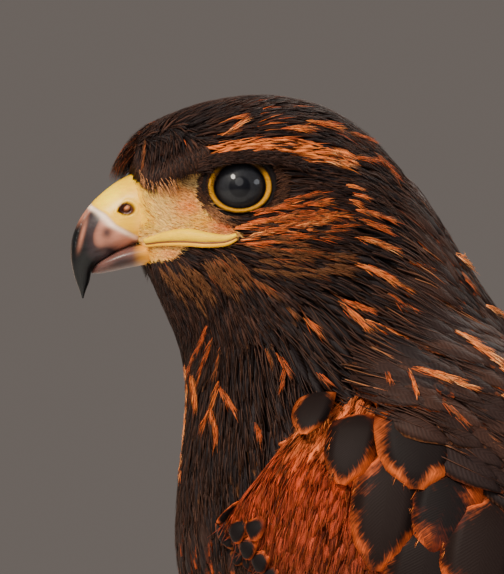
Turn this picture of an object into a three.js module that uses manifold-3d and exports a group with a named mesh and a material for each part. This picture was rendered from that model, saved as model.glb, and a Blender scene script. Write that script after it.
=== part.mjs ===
// A life-size Harris's hawk that stands on the floor, its head turned a little to its left.
// Millimetres, +Z up. The bill points along -X and the bird's left side is -Y.
// Side-view points are [x, z] from the centre of the eye; the whole bird is set on the floor at the end.
import * as THREE from "three";
import { mergeVertices } from "three/addons/utils/BufferGeometryUtils.js";
import Module from "manifold-3d";

const wasm = await Module();
wasm.setup();

// Driving dimensions
const seam = 0.3; // gap between neighbouring pieces
const headTurn = 10; // degrees, towards the bird's left
const turnPivot = [20, 0]; // x, y of the upright axis that the head turns about
const floorLevel = -353; // below the eye
const eyeRadius = 8.6;
const eyeDepth = 13.3; // centre of the eyeball from the middle plane
const eyeForward = 12; // degrees that each eye looks forward of straight sideways
const eyeAhead = 2.4; // centre of the eyeball before the middle of the head's own measures
const lidRadius = 7.3;
const lidThickness = 1.0;
const tailBase = [160, -215];
const tailLength = 215;
const tailSlope = 37; // degrees below level
const tailFeathers = 12;
const ankle = [95, -271];
const footPlace = [79, -344];
const legSpread = 30; // of each foot from the middle plane
const vaneThickness = 0.55;
const left = -1;
const right = 1;
const radians = THREE.MathUtils.degToRad;
const clamp = THREE.MathUtils.clamp;
const ease = THREE.MathUtils.smoothstep;

// Colours
const darkBrown = 0x2b211e;
const chestnut = 0x8a3f22;
const blackBrown = 0x1f1a1a;
const yellowSkin = 0xe8b838;
const hornBlack = 0x22222a;

function finish(colour, roughness) {
  return new THREE.MeshStandardMaterial({ color: colour, roughness, metalness: 0 });
}

// A closed geometry as a solid, turned the right way out
function solidOf(geometry) {
  const bare = geometry.clone();
  for (const name of ["normal", "uv"]) bare.deleteAttribute(name);
  const merged = mergeVertices(bare, 1e-4);
  const corners = Uint32Array.from(merged.index.array);
  const vertProperties = Float32Array.from(merged.attributes.position.array);
  const build = () =>
    new wasm.Manifold(new wasm.Mesh({ numProp: 3, vertProperties, triVerts: corners }));
  const made = build();
  if (made.volume() > 0) return made;
  for (let i = 0; i < corners.length; i += 3)
    [corners[i + 1], corners[i + 2]] = [corners[i + 2], corners[i + 1]];
  return build();
}

function geometryOf(solid) {
  const mesh = solid.getMesh();
  const places = new Float32Array(mesh.numVert * 3);
  for (let i = 0; i < mesh.numVert; i++)
    places.set(mesh.vertProperties.subarray(i * mesh.numProp, i * mesh.numProp + 3), i * 3);
  return new THREE.BufferGeometry()
    .setAttribute("position", new THREE.BufferAttribute(places, 3))
    .setIndex(new THREE.BufferAttribute(mesh.triVerts, 1));
}

function largest(solid) {
  const pieces = solid.decompose();
  return pieces.reduce((a, b) => (b.volume() > a.volume() ? b : a));
}

function join(solids) {
  return solids.reduce((a, b) => a.add(b));
}

// The value at share t of a smooth curve through the given values
function along(values, t) {
  const last = values.length - 1;
  const place = clamp(t, 0, 1) * last;
  const i = Math.min(Math.floor(place), last - 1);
  const f = place - i;
  const at = (k) => values[clamp(k, 0, last)];
  const [a, b, c, d] = [at(i - 1), at(i), at(i + 1), at(i + 2)];
  return b + 0.5 * f * (c - a + f * (2 * a - 5 * b + 4 * c - d + f * (3 * (b - c) + d - a)));
}

// The station at share t: its upper and lower point in side view, half width, lowness and sideways place
function stationAt(stations, t) {
  return stations[0].map((_, k) => along(stations.map((row) => row[k]), t));
}

// A point of a section: turn is 0 at the top, 90 at the left and 180 at the bottom
function sectionPoint(station, turn, grow = 0) {
  const [topX, topZ, lowX, lowZ, halfWidth, lowness = 0, sideways = 0] = station;
  const up = new THREE.Vector2((topX - lowX) / 2, (topZ - lowZ) / 2);
  const reach = up.length();
  up.setLength(reach + grow);
  const c = Math.cos(radians(turn));
  const s = Math.sin(radians(turn));
  return new THREE.Vector3(
    (topX + lowX) / 2 + up.x * c,
    -(Math.max(halfWidth, 0) + grow) * s * (1 - lowness * c) + sideways,
    (topZ + lowZ) / 2 + up.y * c,
  );
}

// A closed skin through stations, made from a sphere whose poles are the two ends
function skin(stations, around, rings, grow = 0, change = (p) => p, pace = (r) => r) {
  const shape = new THREE.SphereGeometry(1, around, rings);
  const spots = shape.attributes.position;
  const uv = shape.attributes.uv;
  for (let i = 0; i < spots.count; i++) {
    const share = clamp(pace(1 - uv.getY(i)), 0, 1);
    const turn = uv.getX(i) * 360;
    const end = share < 1e-6 || share > 1 - 1e-6;
    const station = stationAt(stations, share);
    const point = sectionPoint(station, end ? 90 : turn, end ? 0 : grow);
    if (end) {
      point.set((station[0] + station[2]) / 2, station[6] ?? 0, (station[1] + station[3]) / 2);
      const inside = stationAt(stations, share < 0.5 ? 0.03 : 0.97);
      const away = new THREE.Vector3(
        point.x - (inside[0] + inside[2]) / 2,
        0,
        point.z - (inside[1] + inside[3]) / 2,
      );
      point.addScaledVector(away.normalize(), grow);
    }
    const moved = change(point, share, turn);
    spots.setXYZ(i, moved.x, moved.y, moved.z);
  }
  return solidOf(shape);
}

// Turns a point with the head, all of the way at weight 1
function turnHead(point, weight = 1) {
  const angle = radians(headTurn) * weight;
  const x = point.x - turnPivot[0];
  const y = point.y - turnPivot[1];
  return new THREE.Vector3(
    turnPivot[0] + x * Math.cos(angle) - y * Math.sin(angle),
    turnPivot[1] + x * Math.sin(angle) + y * Math.cos(angle),
    point.z,
  );
}

function turnedHead(solid) {
  const [x, y] = turnPivot;
  return solid.translate([-x, -y, 0]).rotate([0, 0, headTurn]).translate([x, y, 0]);
}

// Head, neck and body as one skin: upper x, z, lower x, z, half width, lowness
const bodyStations = [
  [-29.0, -4.0, -29.0, -6.0, 0.0, 0],
  [-27.6, 5.0, -26.4, -14.5, 8.6, 0.1],
  [-25.6, 13.6, -24.0, -19.5, 13.6, 0.06],
  [-15.0, 19.3, -21.4, -25.0, 18.4, 0.03],
  [-3.0, 22.3, -19.4, -29.5, 21.4, 0.0],
  [8.8, 22.8, -17.6, -33.5, 23.4, 0.0],
  [21.0, 20.1, -15.8, -37.5, 25.2, 0.04],
  [32.0, 13.0, -14.3, -42.0, 27.0, 0.08],
  [41.0, 3.0, -13.3, -48.0, 29.0, 0.1],
  [48.5, -8.0, -13.3, -55.0, 32.5, 0.08],
  [57.0, -21.5, -14.0, -64.0, 37.5, 0.05],
  [69.0, -39.5, -15.3, -75.5, 44.5, 0],
  [84.0, -62.0, -15.6, -90.0, 50.0, 0],
  [99.0, -86.0, -12.5, -106.5, 53.0, 0],
  [114.0, -110.0, -5.0, -126.0, 54.0, 0],
  [128.0, -134.0, 8.0, -148.0, 52.0, 0],
  [140.0, -157.0, 27.0, -171.0, 48.0, 0],
  [150.0, -177.0, 52.0, -193.0, 42.0, 0],
  [158.0, -192.0, 80.0, -211.0, 34.0, 0],
  [165.5, -203.5, 107.0, -225.0, 26.0, 0],
  [171.5, -212.0, 134.0, -234.0, 17.0, 0],
  [167.0, -224.0, 160.0, -232.0, 0.0, 0],
];
const lastStation = bodyStations.length - 1;
const headEnd = 7 / lastStation;
const neckEnd = 11 / lastStation;

// Swellings and hollows of the head: x, z, spread along x, spread along z, how far out
const headForms = [
  [-12, 9.0, 6, 3.2, 2.6], // brow over the front of the eye
  [-0.5, 10.0, 8, 3.4, 2.2], // brow over the back of the eye
  [1, 17.0, 14, 5.0, 2.6], // the flat sides of the crown
  [-17, -1.5, 6, 5.5, -3.0], // hollow before the eye
  [-3.6, 0, 7, 6.5, -2.6], // eye socket
  [10, -13, 8, 8, 1.4], // cheek
  [-13.5, -14, 7, 3, 1.0], // fullness over the mouth
];

function shapeHead(point, share, turn) {
  const weight = 1 - ease(share, 5 / lastStation, 11.5 / lastStation);
  const side = Math.abs(Math.sin(radians(turn)));
  let out = 0;
  for (const [x, z, wide, high, far] of headForms)
    out += far * Math.exp(-(((point.x - x) / wide) ** 2) - ((point.z - z) / high) ** 2);
  point.y += Math.sign(point.y) * out * side;
  return turnHead(point, weight);
}

// Rings of the body skin are closer together on the head
const headShareOfRings = 0.46;

function bodyPace(ring) {
  if (ring < headShareOfRings) return (ring / headShareOfRings) * headEnd;
  return headEnd + ((ring - headShareOfRings) / (1 - headShareOfRings)) * (1 - headEnd);
}

function wholeBody(grow) {
  return skin(bodyStations, 26, 37, grow, shapeHead, bodyPace);
}

// Half of space before or after the section plane at a share of the body skin, past it by half a seam
function beyond(share, after) {
  const station = stationAt(bodyStations, share);
  const weight = 1 - ease(share, 5 / lastStation, 11.5 / lastStation);
  const top = turnHead(new THREE.Vector3(station[0], 0, station[1]), weight);
  const low = turnHead(new THREE.Vector3(station[2], 0, station[3]), weight);
  const up = top.clone().sub(low).normalize();
  const side = turnHead(new THREE.Vector3(turnPivot[0], 1, 0), weight)
    .sub(turnHead(new THREE.Vector3(turnPivot[0], 0, 0), weight))
    .normalize();
  const backward = up.clone().cross(side).normalize();
  if (backward.x < 0) backward.negate();
  const size = 600;
  const block = new THREE.BoxGeometry(size, size, size);
  const towards = after ? 1 : -1;
  block.applyMatrix4(new THREE.Matrix4().makeBasis(backward, side, up));
  const centre = top.add(low).multiplyScalar(0.5);
  centre.addScaledVector(backward, towards * (size / 2 - seam / 2));
  block.translate(centre.x, centre.y, centre.z);
  return solidOf(block);
}

// The bill: one skin for the upper half, cere and hook, and one for the lower half
const upperBillStations = [
  [-17.6, 3.0, -17.6, -12.0, 0.0, 0],
  [-20.6, 6.4, -20.6, -13.4, 9.2, 0.12],
  [-27.2, 3.6, -26.2, -14.0, 8.0, 0.14],
  [-31.0, 1.7, -30.3, -15.6, 7.2, 0.16],
  [-34.8, -1.1, -33.4, -17.0, 6.3, 0.16],
  [-38.1, -4.3, -35.4, -18.3, 5.4, 0.14],
  [-40.9, -8.2, -36.5, -19.2, 4.4, 0.12],
  [-42.7, -13.0, -37.2, -20.0, 3.4, 0.1],
  [-43.0, -17.5, -37.9, -21.4, 2.5, 0.05],
  [-42.2, -21.8, -38.4, -23.6, 1.6, 0],
  [-40.9, -25.4, -39.3, -25.9, 0.9, 0],
  [-40.1, -27.6, -39.8, -27.6, 0.0, 0],
];
const lowerBillStations = [
  [-12.0, -15.0, -12.0, -17.5, 0.0, 0],
  [-16.0, -13.6, -16.5, -19.2, 6.8, -0.15],
  [-23.0, -14.0, -23.0, -20.0, 6.8, -0.15],
  [-29.5, -15.6, -29.5, -20.9, 5.9, -0.15],
  [-35.4, -18.7, -35.0, -21.8, 3.8, -0.1],
  [-38.0, -20.5, -37.8, -21.6, 0.0, 0],
];
// The front edge of the cere, from over the culmen to under the cutting edge, as x and z
const cereEdge = [
  [-40.0, 3.0],
  [-38.2, -4.2],
  [-35.0, -5.9],
  [-32.7, -9.2],
  [-28.6, -11.6],
  [-25.4, -13.4],
  [-23.0, -16.0],
  [-22.0, -30.0],
];
const nostril = [-30.3, -5.4];

function billCutter(ahead, shift) {
  const outline = new THREE.Shape();
  const front = ahead ? -60 : 60;
  const points = cereEdge.map(([x, z]) => [x + shift, z]);
  outline.moveTo(front, points[0][1]);
  for (const [x, z] of points) outline.lineTo(x, z);
  outline.lineTo(front, points[points.length - 1][1]);
  outline.closePath();
  const block = new THREE.ExtrudeGeometry(outline, { depth: 40, bevelEnabled: false });
  block.rotateX(Math.PI / 2);
  block.translate(0, 20, 0);
  return solidOf(block);
}

function upperBill(grow = 0) {
  return skin(upperBillStations, 14, 19, grow);
}

function lowerBill(grow = 0) {
  return skin(lowerBillStations, 10, 9, grow);
}

function nostrilPlug(side) {
  const plug = new THREE.SphereGeometry(1, 8, 6);
  plug.scale(2.1, 2.0, 1.4);
  plug.rotateY(radians(18));
  plug.translate(nostril[0], side * 7.5, nostril[1]);
  return solidOf(plug);
}

// Eye, lids and socket
function eyeCentre(side) {
  return new THREE.Vector3(-eyeAhead, side * eyeDepth, 0);
}

function eyeAxis(side) {
  const angle = radians(eyeForward);
  return new THREE.Vector3(-Math.sin(angle), side * Math.cos(angle), 0);
}

function eyeball(side, grow = 0) {
  const ball = new THREE.SphereGeometry(eyeRadius + grow, 12, 10);
  ball.translate(...eyeCentre(side).toArray());
  return solidOf(ball);
}

function lidRing(side) {
  const ring = new THREE.TorusGeometry(lidRadius, lidThickness, 5, 16);
  ring.applyQuaternion(
    new THREE.Quaternion().setFromUnitVectors(new THREE.Vector3(0, 0, 1), eyeAxis(side)),
  );
  const clear = eyeRadius + seam + lidThickness + 0.05;
  const out = Math.sqrt(clear ** 2 - lidRadius ** 2);
  ring.translate(...eyeCentre(side).addScaledVector(eyeAxis(side), out).toArray());
  return solidOf(ring);
}

// The opening that the feathers leave round the lids
function socket(side) {
  const depth = 12;
  const cone = new THREE.CylinderGeometry(lidRadius + 4.2, lidRadius + 1.35, depth, 14);
  cone.translate(0, depth / 2 + 5.35, 0);
  cone.applyQuaternion(
    new THREE.Quaternion().setFromUnitVectors(new THREE.Vector3(0, 1, 0), eyeAxis(side)),
  );
  cone.translate(...eyeCentre(side).toArray());
  return solidOf(cone);
}

// A tapered tube along points, with a radius at each, flattened by the given share
function tube(points, radii, around, rings, flat = 1, over = new THREE.Vector3(0, 0, 1)) {
  const line = new THREE.CatmullRomCurve3(points.map((p) => new THREE.Vector3(...p)));
  const shape = new THREE.SphereGeometry(1, around, rings);
  const spots = shape.attributes.position;
  const uv = shape.attributes.uv;
  for (let i = 0; i < spots.count; i++) {
    const share = clamp(1 - uv.getY(i), 0, 1);
    const end = share < 1e-6 || share > 1 - 1e-6;
    const angle = uv.getX(i) * 2 * Math.PI;
    const centre = line.getPoint(share);
    const ahead = line.getTangent(share);
    const side = ahead.clone().cross(over).normalize();
    const up = side.clone().cross(ahead).normalize();
    const radius = end ? 0 : along(radii, share);
    centre.addScaledVector(side, Math.cos(angle) * radius);
    centre.addScaledVector(up, Math.sin(angle) * radius * flat);
    spots.setXYZ(i, centre.x, centre.y, centre.z);
  }
  return solidOf(shape);
}

// The yellow lip at the corner of the mouth, above and below its line
const mouthLine = [
  [-25.3, 6.4, -14.2],
  [-21.1, 14.3, -13.5],
  [-16.8, 18.8, -13.5],
  [-12.5, 21.4, -13.9],
  [-7.9, 22.9, -13.6],
  [-5.3, 23.5, -12.5],
];

function lip(side, drop, radii) {
  const points = mouthLine.map(([x, y, z]) => [x, side * y, z - drop]);
  return tube(points, radii, 5, 6, 0.7);
}

function mouthLips(side) {
  return [lip(side, -0.95, [0.6, 1.5, 1.7, 1.4, 0.5]), lip(side, 1.15, [0.5, 1.1, 1.1, 1.0, 0.5])];
}

function makeHead() {
  let head = wholeBody(0).subtract(beyond(headEnd, true));
  const insets = [];
  for (const side of [left, right]) {
    head = join([head, ...mouthLips(side).map(turnedHead)]);
    insets.push(eyeball(side, seam), socket(side));
  }
  insets.push(upperBill(seam), lowerBill(seam));
  return largest(head.subtract(turnedHead(join(insets))));
}

function makeCere() {
  const cere = upperBill().subtract(billCutter(true, seam / 2));
  return largest(cere.subtract(join([nostrilPlug(left), nostrilPlug(right)])));
}

function makeHook() {
  return largest(upperBill().subtract(billCutter(false, -seam / 2)).subtract(lowerBill(seam)));
}

function makeLowerBill() {
  return largest(lowerBill().subtract(upperBill(seam)));
}

// The folded wing lies on a shell round the body and over the tail: same columns as the body
const shellStations = [
  [24, -44, -17, -98, 46],
  [60, -38, -2, -128, 55.5],
  [93, -68, 22, -152, 59],
  [119, -101, 50, -180, 57.5],
  [141, -134, 80, -204, 52.5],
  [160, -166, 113, -222, 46],
  [177, -194, 147, -229, 40],
  [197, -215, 180, -238, 33],
  [223, -239.5, 209.5, -257.5, 28],
  [249, -263.5, 240, -275.5, 22],
].map((row) => [...row, 0, 0]);

const backDrop = 6.5; // the shell comes down to the back towards the middle plane

function shellPoint(side) {
  return (a, b, h) => {
    const at = (t, turn) => sectionPoint(stationAt(shellStations, t), turn);
    const here = at(a, b);
    const step = 0.004;
    const lengthwise = at(a + step, b).sub(at(a - step, b));
    const across = at(a, b + 1).sub(at(a, b - 1));
    const out = lengthwise.cross(across).normalize();
    const centre = stationAt(shellStations, a);
    const outward = here
      .clone()
      .sub(new THREE.Vector3((centre[0] + centre[2]) / 2, 0, (centre[1] + centre[3]) / 2));
    if (out.dot(outward) < 0) out.negate();
    here.addScaledVector(out, h - backDrop * (1 - ease(b, 8, 50)));
    if (side === right) here.y = -here.y;
    return here;
  };
}

// Width of a feather's blade along its length, 0 at the root to 1 at the tip
function bladeWidth(share, tip) {
  const root = Math.min(1, 0.45 + 1.6 * share);
  const start = 0.72;
  if (share <= start) return root;
  return Math.max(tip, Math.sqrt(1 - ((share - start) / (1.02 - start)) ** 2));
}

// One feather blade on a surface given by place(a, b, h): 3 points wide, both faces split alike
function vane(place, { root, tip, width, heights, tilt, bow = 0, steps = 5, point = 0.3 }) {
  const shares = Array.from({ length: steps + 1 }, (_, i) => Math.sin((i / steps) * (Math.PI / 2)) ** 1.15);
  const corners = [];
  const [a0, b0] = root;
  const [a1, b1] = tip;
  const spot = (s) => [a0 + (a1 - a0) * s, b0 + (b1 - b0) * s + bow * Math.sin(Math.PI * s)];
  for (const s of shares) {
    const [a, b] = spot(s);
    const [ahead, behind] = [spot(Math.min(s + 0.02, 1)), spot(Math.max(s - 0.02, 0))];
    const da = ahead[0] - behind[0];
    const db = ahead[1] - behind[1];
    const scaleA = place(a + 0.005, b, 0).distanceTo(place(a - 0.005, b, 0)) / 0.01;
    const scaleB = place(a, b + 0.5, 0).distanceTo(place(a, b - 0.5, 0));
    const run = Math.hypot(da * scaleA, db * scaleB);
    const acrossA = (-db * scaleB) / run / scaleA;
    const acrossB = (da * scaleA) / run / scaleB;
    const half = (width / 2) * bladeWidth(s, point);
    const height = along(heights, s);
    for (const layer of [1, -1])
      for (const across of [-1, 0, 1]) {
        const lift = height + tilt * across * bladeWidth(s, point) + (across === 0 ? 0.25 : 0);
        const h = lift + (layer * vaneThickness) / 2;
        corners.push(place(a + acrossA * half * across, b + acrossB * half * across, h));
      }
  }
  const faces = [];
  const quad = (a, b, c, d) => faces.push(a, b, c, a, c, d);
  for (let i = 0; i < steps; i++) {
    const [p, q] = [i * 6, (i + 1) * 6];
    for (const j of [0, 1]) {
      quad(p + j, q + j, q + j + 1, p + j + 1);
      quad(p + j + 4, q + j + 4, q + j + 3, p + j + 3);
    }
    quad(p + 3, q + 3, q, p);
    quad(p + 2, q + 2, q + 5, p + 5);
  }
  const end = steps * 6;
  quad(0, 1, 4, 3);
  quad(1, 2, 5, 4);
  quad(end, end + 3, end + 4, end + 1);
  quad(end + 1, end + 4, end + 5, end + 2);
  const shape = new THREE.BufferGeometry();
  shape.setAttribute("position", new THREE.Float32BufferAttribute(corners.flatMap((p) => p.toArray()), 3));
  shape.setIndex(faces);
  return solidOf(shape);
}

// The arm under the coverts: a slab of the shell between two angles, thick at the shoulder
const slab = { from: 0.0, to: 0.62, high: 8, low: 120, across: 7, lengthwise: 8 };

function slabEdge(share) {
  return Math.sqrt(Math.max(0, 1 - (2 * share - 1) ** 4));
}

function armHeight(a, b) {
  const lengthwise = (a - slab.from) / (slab.to - slab.from);
  const across = (b - slab.high) / (slab.low - slab.high);
  const round = slabEdge(across) * Math.min(1, Math.sqrt(Math.max(0, lengthwise / 0.2)));
  return -4 + (9.4 - 8.9 * ease(lengthwise, 0.3, 0.75)) * round;
}

function armSlab(place) {
  const shape = new THREE.BoxGeometry(1, 1, 1, slab.lengthwise, slab.across, 1);
  const spots = shape.attributes.position;
  for (let i = 0; i < spots.count; i++) {
    const a = slab.from + (spots.getX(i) + 0.5) * (slab.to - slab.from);
    const frontPull = 14 * Math.exp(-(((a - slab.from) / 0.07) ** 2));
    const high = slab.high + frontPull;
    const low = slab.low - frontPull;
    const b = high + (spots.getY(i) + 0.5) * (low - high);
    const h = spots.getZ(i) > 0 ? armHeight(a, slab.high + (spots.getY(i) + 0.5) * (slab.low - slab.high)) : -9;
    const p = place(a, b, h);
    spots.setXYZ(i, p.x, p.y, p.z);
  }
  return solidOf(shape);
}

// A tier of feathers across the wing, each lying a little over the next one down
function tier(place, count, make) {
  return Array.from({ length: count }, (_, i) => vane(place, make(i / (count - 1), i)));
}

function wingTiers(place) {
  const mix = THREE.MathUtils.lerp;
  return [
    ...tier(place, 5, (s, i) => ({
      root: [0.56, mix(70, 100, s)],
      tip: [mix(0.88, 1.0, Math.min(1, s * 1.4)), mix(44, 84, s)],
      width: 15,
      heights: [-5.2 - 0.7 * i, -1.0 - 1.25 * i, -0.7 - 1.25 * i, -0.5 - 1.25 * i],
      tilt: 0.2,
      steps: 4,
    })),
    ...tier(place, 5, (s, i) => ({
      root: [mix(0.48, 0.52, s), mix(20, 96, s)],
      tip: [mix(0.73, 0.79, s), mix(14, 84, s)],
      width: 19,
      heights: [-5.5, 2.0 - 0.2 * i, 2.5 - 0.2 * i, 2.2 - 0.2 * i],
      tilt: 0.75,
      steps: 3,
    })),
    ...tier(place, 5, (s, i) => ({
      root: [mix(0.4, 0.43, s), mix(38, 106, s)],
      tip: [mix(0.56, 0.64, s), mix(32, 98, s)],
      width: 18.5,
      heights: [-4, 4.8 - 0.15 * i, 5.2 - 0.15 * i, 4.8 - 0.15 * i],
      tilt: 0.75,
      steps: 3,
    })),
    ...tier(place, 5, (s) => ({
      root: [mix(0.29, 0.32, s), mix(46, 106, s)],
      tip: [mix(0.43, 0.48, s), mix(44, 100, s)],
      width: 16.5,
      heights: [-2, 6.9, 7.4, 7.0],
      tilt: 0.7,
      steps: 3,
    })),
    ...tier(place, 6, (s, i) => ({
      root: [mix(0.12, 0.46, s), mix(30, 14, s)],
      tip: [mix(0.2, 0.64, s), mix(62, 17, s)],
      width: 21,
      heights: [-2 - 0.5 * i, 9.2 - 0.7 * i, 9.6 - 0.7 * i, 9.2 - 0.7 * i],
      tilt: 0.3,
      steps: 3,
    })),
  ];
}

// The room that the folded wing takes, with a seam round it
function wingRoom(side) {
  const place = shellPoint(side);
  const shape = new THREE.BoxGeometry(1, 1, 1, 10, 7, 1);
  const spots = shape.attributes.position;
  for (let i = 0; i < spots.count; i++) {
    const p = place(0.45 + spots.getX(i) * 0.9, 66 + spots.getY(i) * 116, spots.getZ(i) > 0 ? 14 : -9.6);
    spots.setXYZ(i, p.x, p.y, p.z);
  }
  return solidOf(shape);
}

// Half of space on the far side of the middle plane
function otherSide(side, gap) {
  const block = new THREE.BoxGeometry(700, 200, 900);
  block.translate(0, -side * (100 - gap), 0);
  return solidOf(block);
}

function makeWing(side) {
  const place = shellPoint(side);
  const wing = join([armSlab(place), ...wingTiers(place)]);
  return largest(wing.subtract(wholeBody(seam)).subtract(otherSide(side, 1)));
}

// The tail: a nearly flat fan whose middle feathers lie on top
function tailPlace(a, b, h) {
  const slope = radians(tailSlope);
  const crown = -(b ** 2) / 160;
  return new THREE.Vector3(
    tailBase[0] + a * Math.cos(slope) + (h + crown) * Math.sin(slope),
    b,
    tailBase[1] - a * Math.sin(slope) + (h + crown) * Math.cos(slope),
  );
}

function tailVane(rank, side) {
  const height = (rank === 0 && side === right ? -0.3 : -1.3) - rank * 1.0;
  const blade = vane(tailPlace, {
    root: [-14, side * (1.5 + rank * 1.3)],
    tip: [tailLength - rank * 1.6, side * (2.0 + rank * 4.4)],
    width: 21,
    heights: [height, height, height],
    tilt: 0,
    steps: 3,
    point: 0.5,
  });
  return rank === 0 ? blade : blade.subtract(otherSide(side, 0.4));
}

function coverVane(share, above) {
  const across = THREE.MathUtils.lerp(-1, 1, share);
  return vane(tailPlace, {
    root: [above ? -20 : -30, across * 11],
    tip: [(above ? 52 : 78) - 14 * across ** 2, across * (above ? 17 : 15)],
    width: 17,
    heights: above ? [0, 2.4, 2.2] : [-8, -11.5, -9.5],
    tilt: above ? 0.8 : -0.8,
    steps: 3,
  });
}

function tailRoot() {
  const slope = radians(tailSlope);
  const root = new THREE.SphereGeometry(1, 12, 8);
  root.scale(27, 17, 8);
  root.rotateY(slope);
  root.translate(tailBase[0] + 5, 0, tailBase[1] - 8);
  return solidOf(root);
}

function makeTail() {
  const blades = [tailRoot()];
  for (let rank = 0; rank < tailFeathers / 2; rank++)
    for (const side of [left, right]) blades.push(tailVane(rank, side));
  for (const above of [true, false])
    for (let i = 0; i < 4; i++) blades.push(coverVane(i / 3, above));
  return largest(join(blades).subtract(wholeBody(seam)));
}

// Legs: the feathered thigh, the bare shank, four toes and their claws
const thighStations = [
  [112, -150, 96, -146, 0],
  [128, -172, 62, -164, 17],
  [131, -198, 55, -188, 20],
  [124, -221, 57, -211, 18.5],
  [114, -240, 66, -232, 14.5],
  [107, -257, 77, -251, 10.5],
  [104, -268, 84.5, -265, 7.6],
  [97, -274, 92, -273.5, 0],
];

function thigh(side, grow = 0) {
  const rows = thighStations.map((row) => [...row, 0, side * (legSpread - 1)]);
  return skin(rows, 14, 12, grow);
}

function makeThigh(side) {
  return largest(thigh(side).subtract(wholeBody(seam)).subtract(wingRoom(side)));
}

const scutes = 8;
const shankRings = scutes * 2 + 4;

function makeShank(side) {
  const y = side * legSpread;
  const shank = new THREE.SphereGeometry(1, 8, shankRings);
  const spots = shank.attributes.position;
  const uv = shank.attributes.uv;
  for (let i = 0; i < spots.count; i++) {
    const share = clamp(1 - uv.getY(i), 0, 1);
    const ring = Math.round(share * shankRings);
    const angle = uv.getX(i) * 2 * Math.PI;
    const end = ring === 0 || ring === shankRings;
    const thick = along([3.4, 6.0, 4.9, 4.4, 4.4, 4.9, 6.0, 4.8], share);
    const front = Math.max(0, -Math.cos(angle));
    const plate = ring % 2 === 0 ? 0 : 0.55 * front;
    const radius = end ? 0 : thick + plate;
    const x = THREE.MathUtils.lerp(ankle[0], footPlace[0], share);
    const z = THREE.MathUtils.lerp(ankle[1] + 6, footPlace[1] - 2, share);
    spots.setXYZ(i, x + Math.cos(angle) * radius * 1.15, y + Math.sin(angle) * radius * 0.9, z);
  }
  const ball = new THREE.SphereGeometry(1, 10, 8);
  ball.scale(9.5, 8.5, 6.5);
  ball.translate(footPlace[0], y, floorLevel + 5.2);
  const whole = join([solidOf(shank), solidOf(ball)]).subtract(underFloor());
  return largest(whole.subtract(thigh(side, seam)));
}

function underFloor(rise = 0) {
  const block = new THREE.BoxGeometry(600, 600, 100);
  block.translate(0, 0, floorLevel - 50 + rise);
  return solidOf(block);
}

// Toe: heading in degrees from straight ahead, towards the middle plane, length and claw length
const toes = {
  inner: { heading: 27, length: 36, claw: 21, thick: 5.0 },
  middle: { heading: -4, length: 48, claw: 18, thick: 4.8 },
  outer: { heading: -40, length: 39, claw: 16, thick: 4.5 },
  hind: { heading: 172, length: 29, claw: 24, thick: 5.0 },
};
const toeFrom = 7.5; // from the middle of the foot to the root of each toe

function toeFrame(side, heading) {
  const angle = radians(heading);
  const ahead = new THREE.Vector3(-Math.cos(angle), -side * Math.sin(angle), 0);
  return (out, up) => [
    footPlace[0] + ahead.x * out,
    side * legSpread + ahead.y * out,
    floorLevel + up,
  ];
}

// The sector that each toe keeps to, so that neighbours never meet at their roots
function wedge(at, reach) {
  const outline = new THREE.Shape();
  const free = 22; // out here the toes are clear of one another
  const half = free * Math.tan(radians(14.6)) - seam / 2;
  outline.moveTo(2, -0.3);
  outline.lineTo(free, -half);
  outline.lineTo(free + 3, -12);
  outline.lineTo(reach + 20, -12);
  outline.lineTo(reach + 20, 12);
  outline.lineTo(free + 3, 12);
  outline.lineTo(free, half);
  outline.lineTo(2, 0.3);
  outline.closePath();
  const block = new THREE.ExtrudeGeometry(outline, { depth: 40, bevelEnabled: false });
  const spots = block.attributes.position;
  const [from, ahead] = [at(0, 0), at(1, 0)];
  const dx = ahead[0] - from[0];
  const dy = ahead[1] - from[1];
  for (let i = 0; i < spots.count; i++) {
    const [out, across, up] = [spots.getX(i), spots.getY(i), spots.getZ(i)];
    spots.setXYZ(i, from[0] + dx * out - dy * across, from[1] + dy * out + dx * across, from[2] + up - 5);
  }
  return solidOf(block);
}

function makeToe(side, { heading, length, thick }) {
  const at = toeFrame(side, heading);
  const joints = [0, 0.18, 0.34, 0.5, 0.66, 0.82, 1];
  const points = joints.map((s) => at(toeFrom + s * length, thick * 0.86 + 1.0 * Math.sin(Math.PI * s)));
  const radii = [1, 1.05, 0.88, 1.02, 0.84, 0.96, 0.7].map((r) => r * thick);
  const ball = new THREE.SphereGeometry(1, 10, 8);
  ball.scale(9.5 + seam, 8.5 + seam, 6.5 + seam);
  ball.translate(footPlace[0], side * legSpread, floorLevel + 5.2);
  const shankClear = tube(
    [
      [ankle[0], side * legSpread, ankle[1]],
      [footPlace[0], side * legSpread, footPlace[1]],
    ],
    [6.6, 6.6, 7],
    8,
    4,
  );
  const toe = wedge(at, toeFrom + length).intersect(tube(points, radii, 7, 9, 0.92));
  return largest(toe.subtract(join([solidOf(ball), shankClear, underFloor()])));
}

function makeClaw(side, { heading, length, claw, thick }) {
  const at = toeFrame(side, heading);
  const from = toeFrom + length;
  const profile = [
    [-0.12, 0.95],
    [0.18, 1.25],
    [0.5, 1.2],
    [0.78, 0.72],
    [0.95, 0.08],
  ];
  const points = profile.map(([out, up]) => at(from + out * claw, up * thick * 0.95));
  const radii = [0.55, 0.66, 0.5, 0.32, 0.12].map((r) => r * thick);
  const horn = tube(points, radii, 6, 7, 1.1);
  const clear = join([largestToe(side, { heading, length, thick }), underFloor()]);
  return largest(horn.subtract(clear));
}

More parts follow.
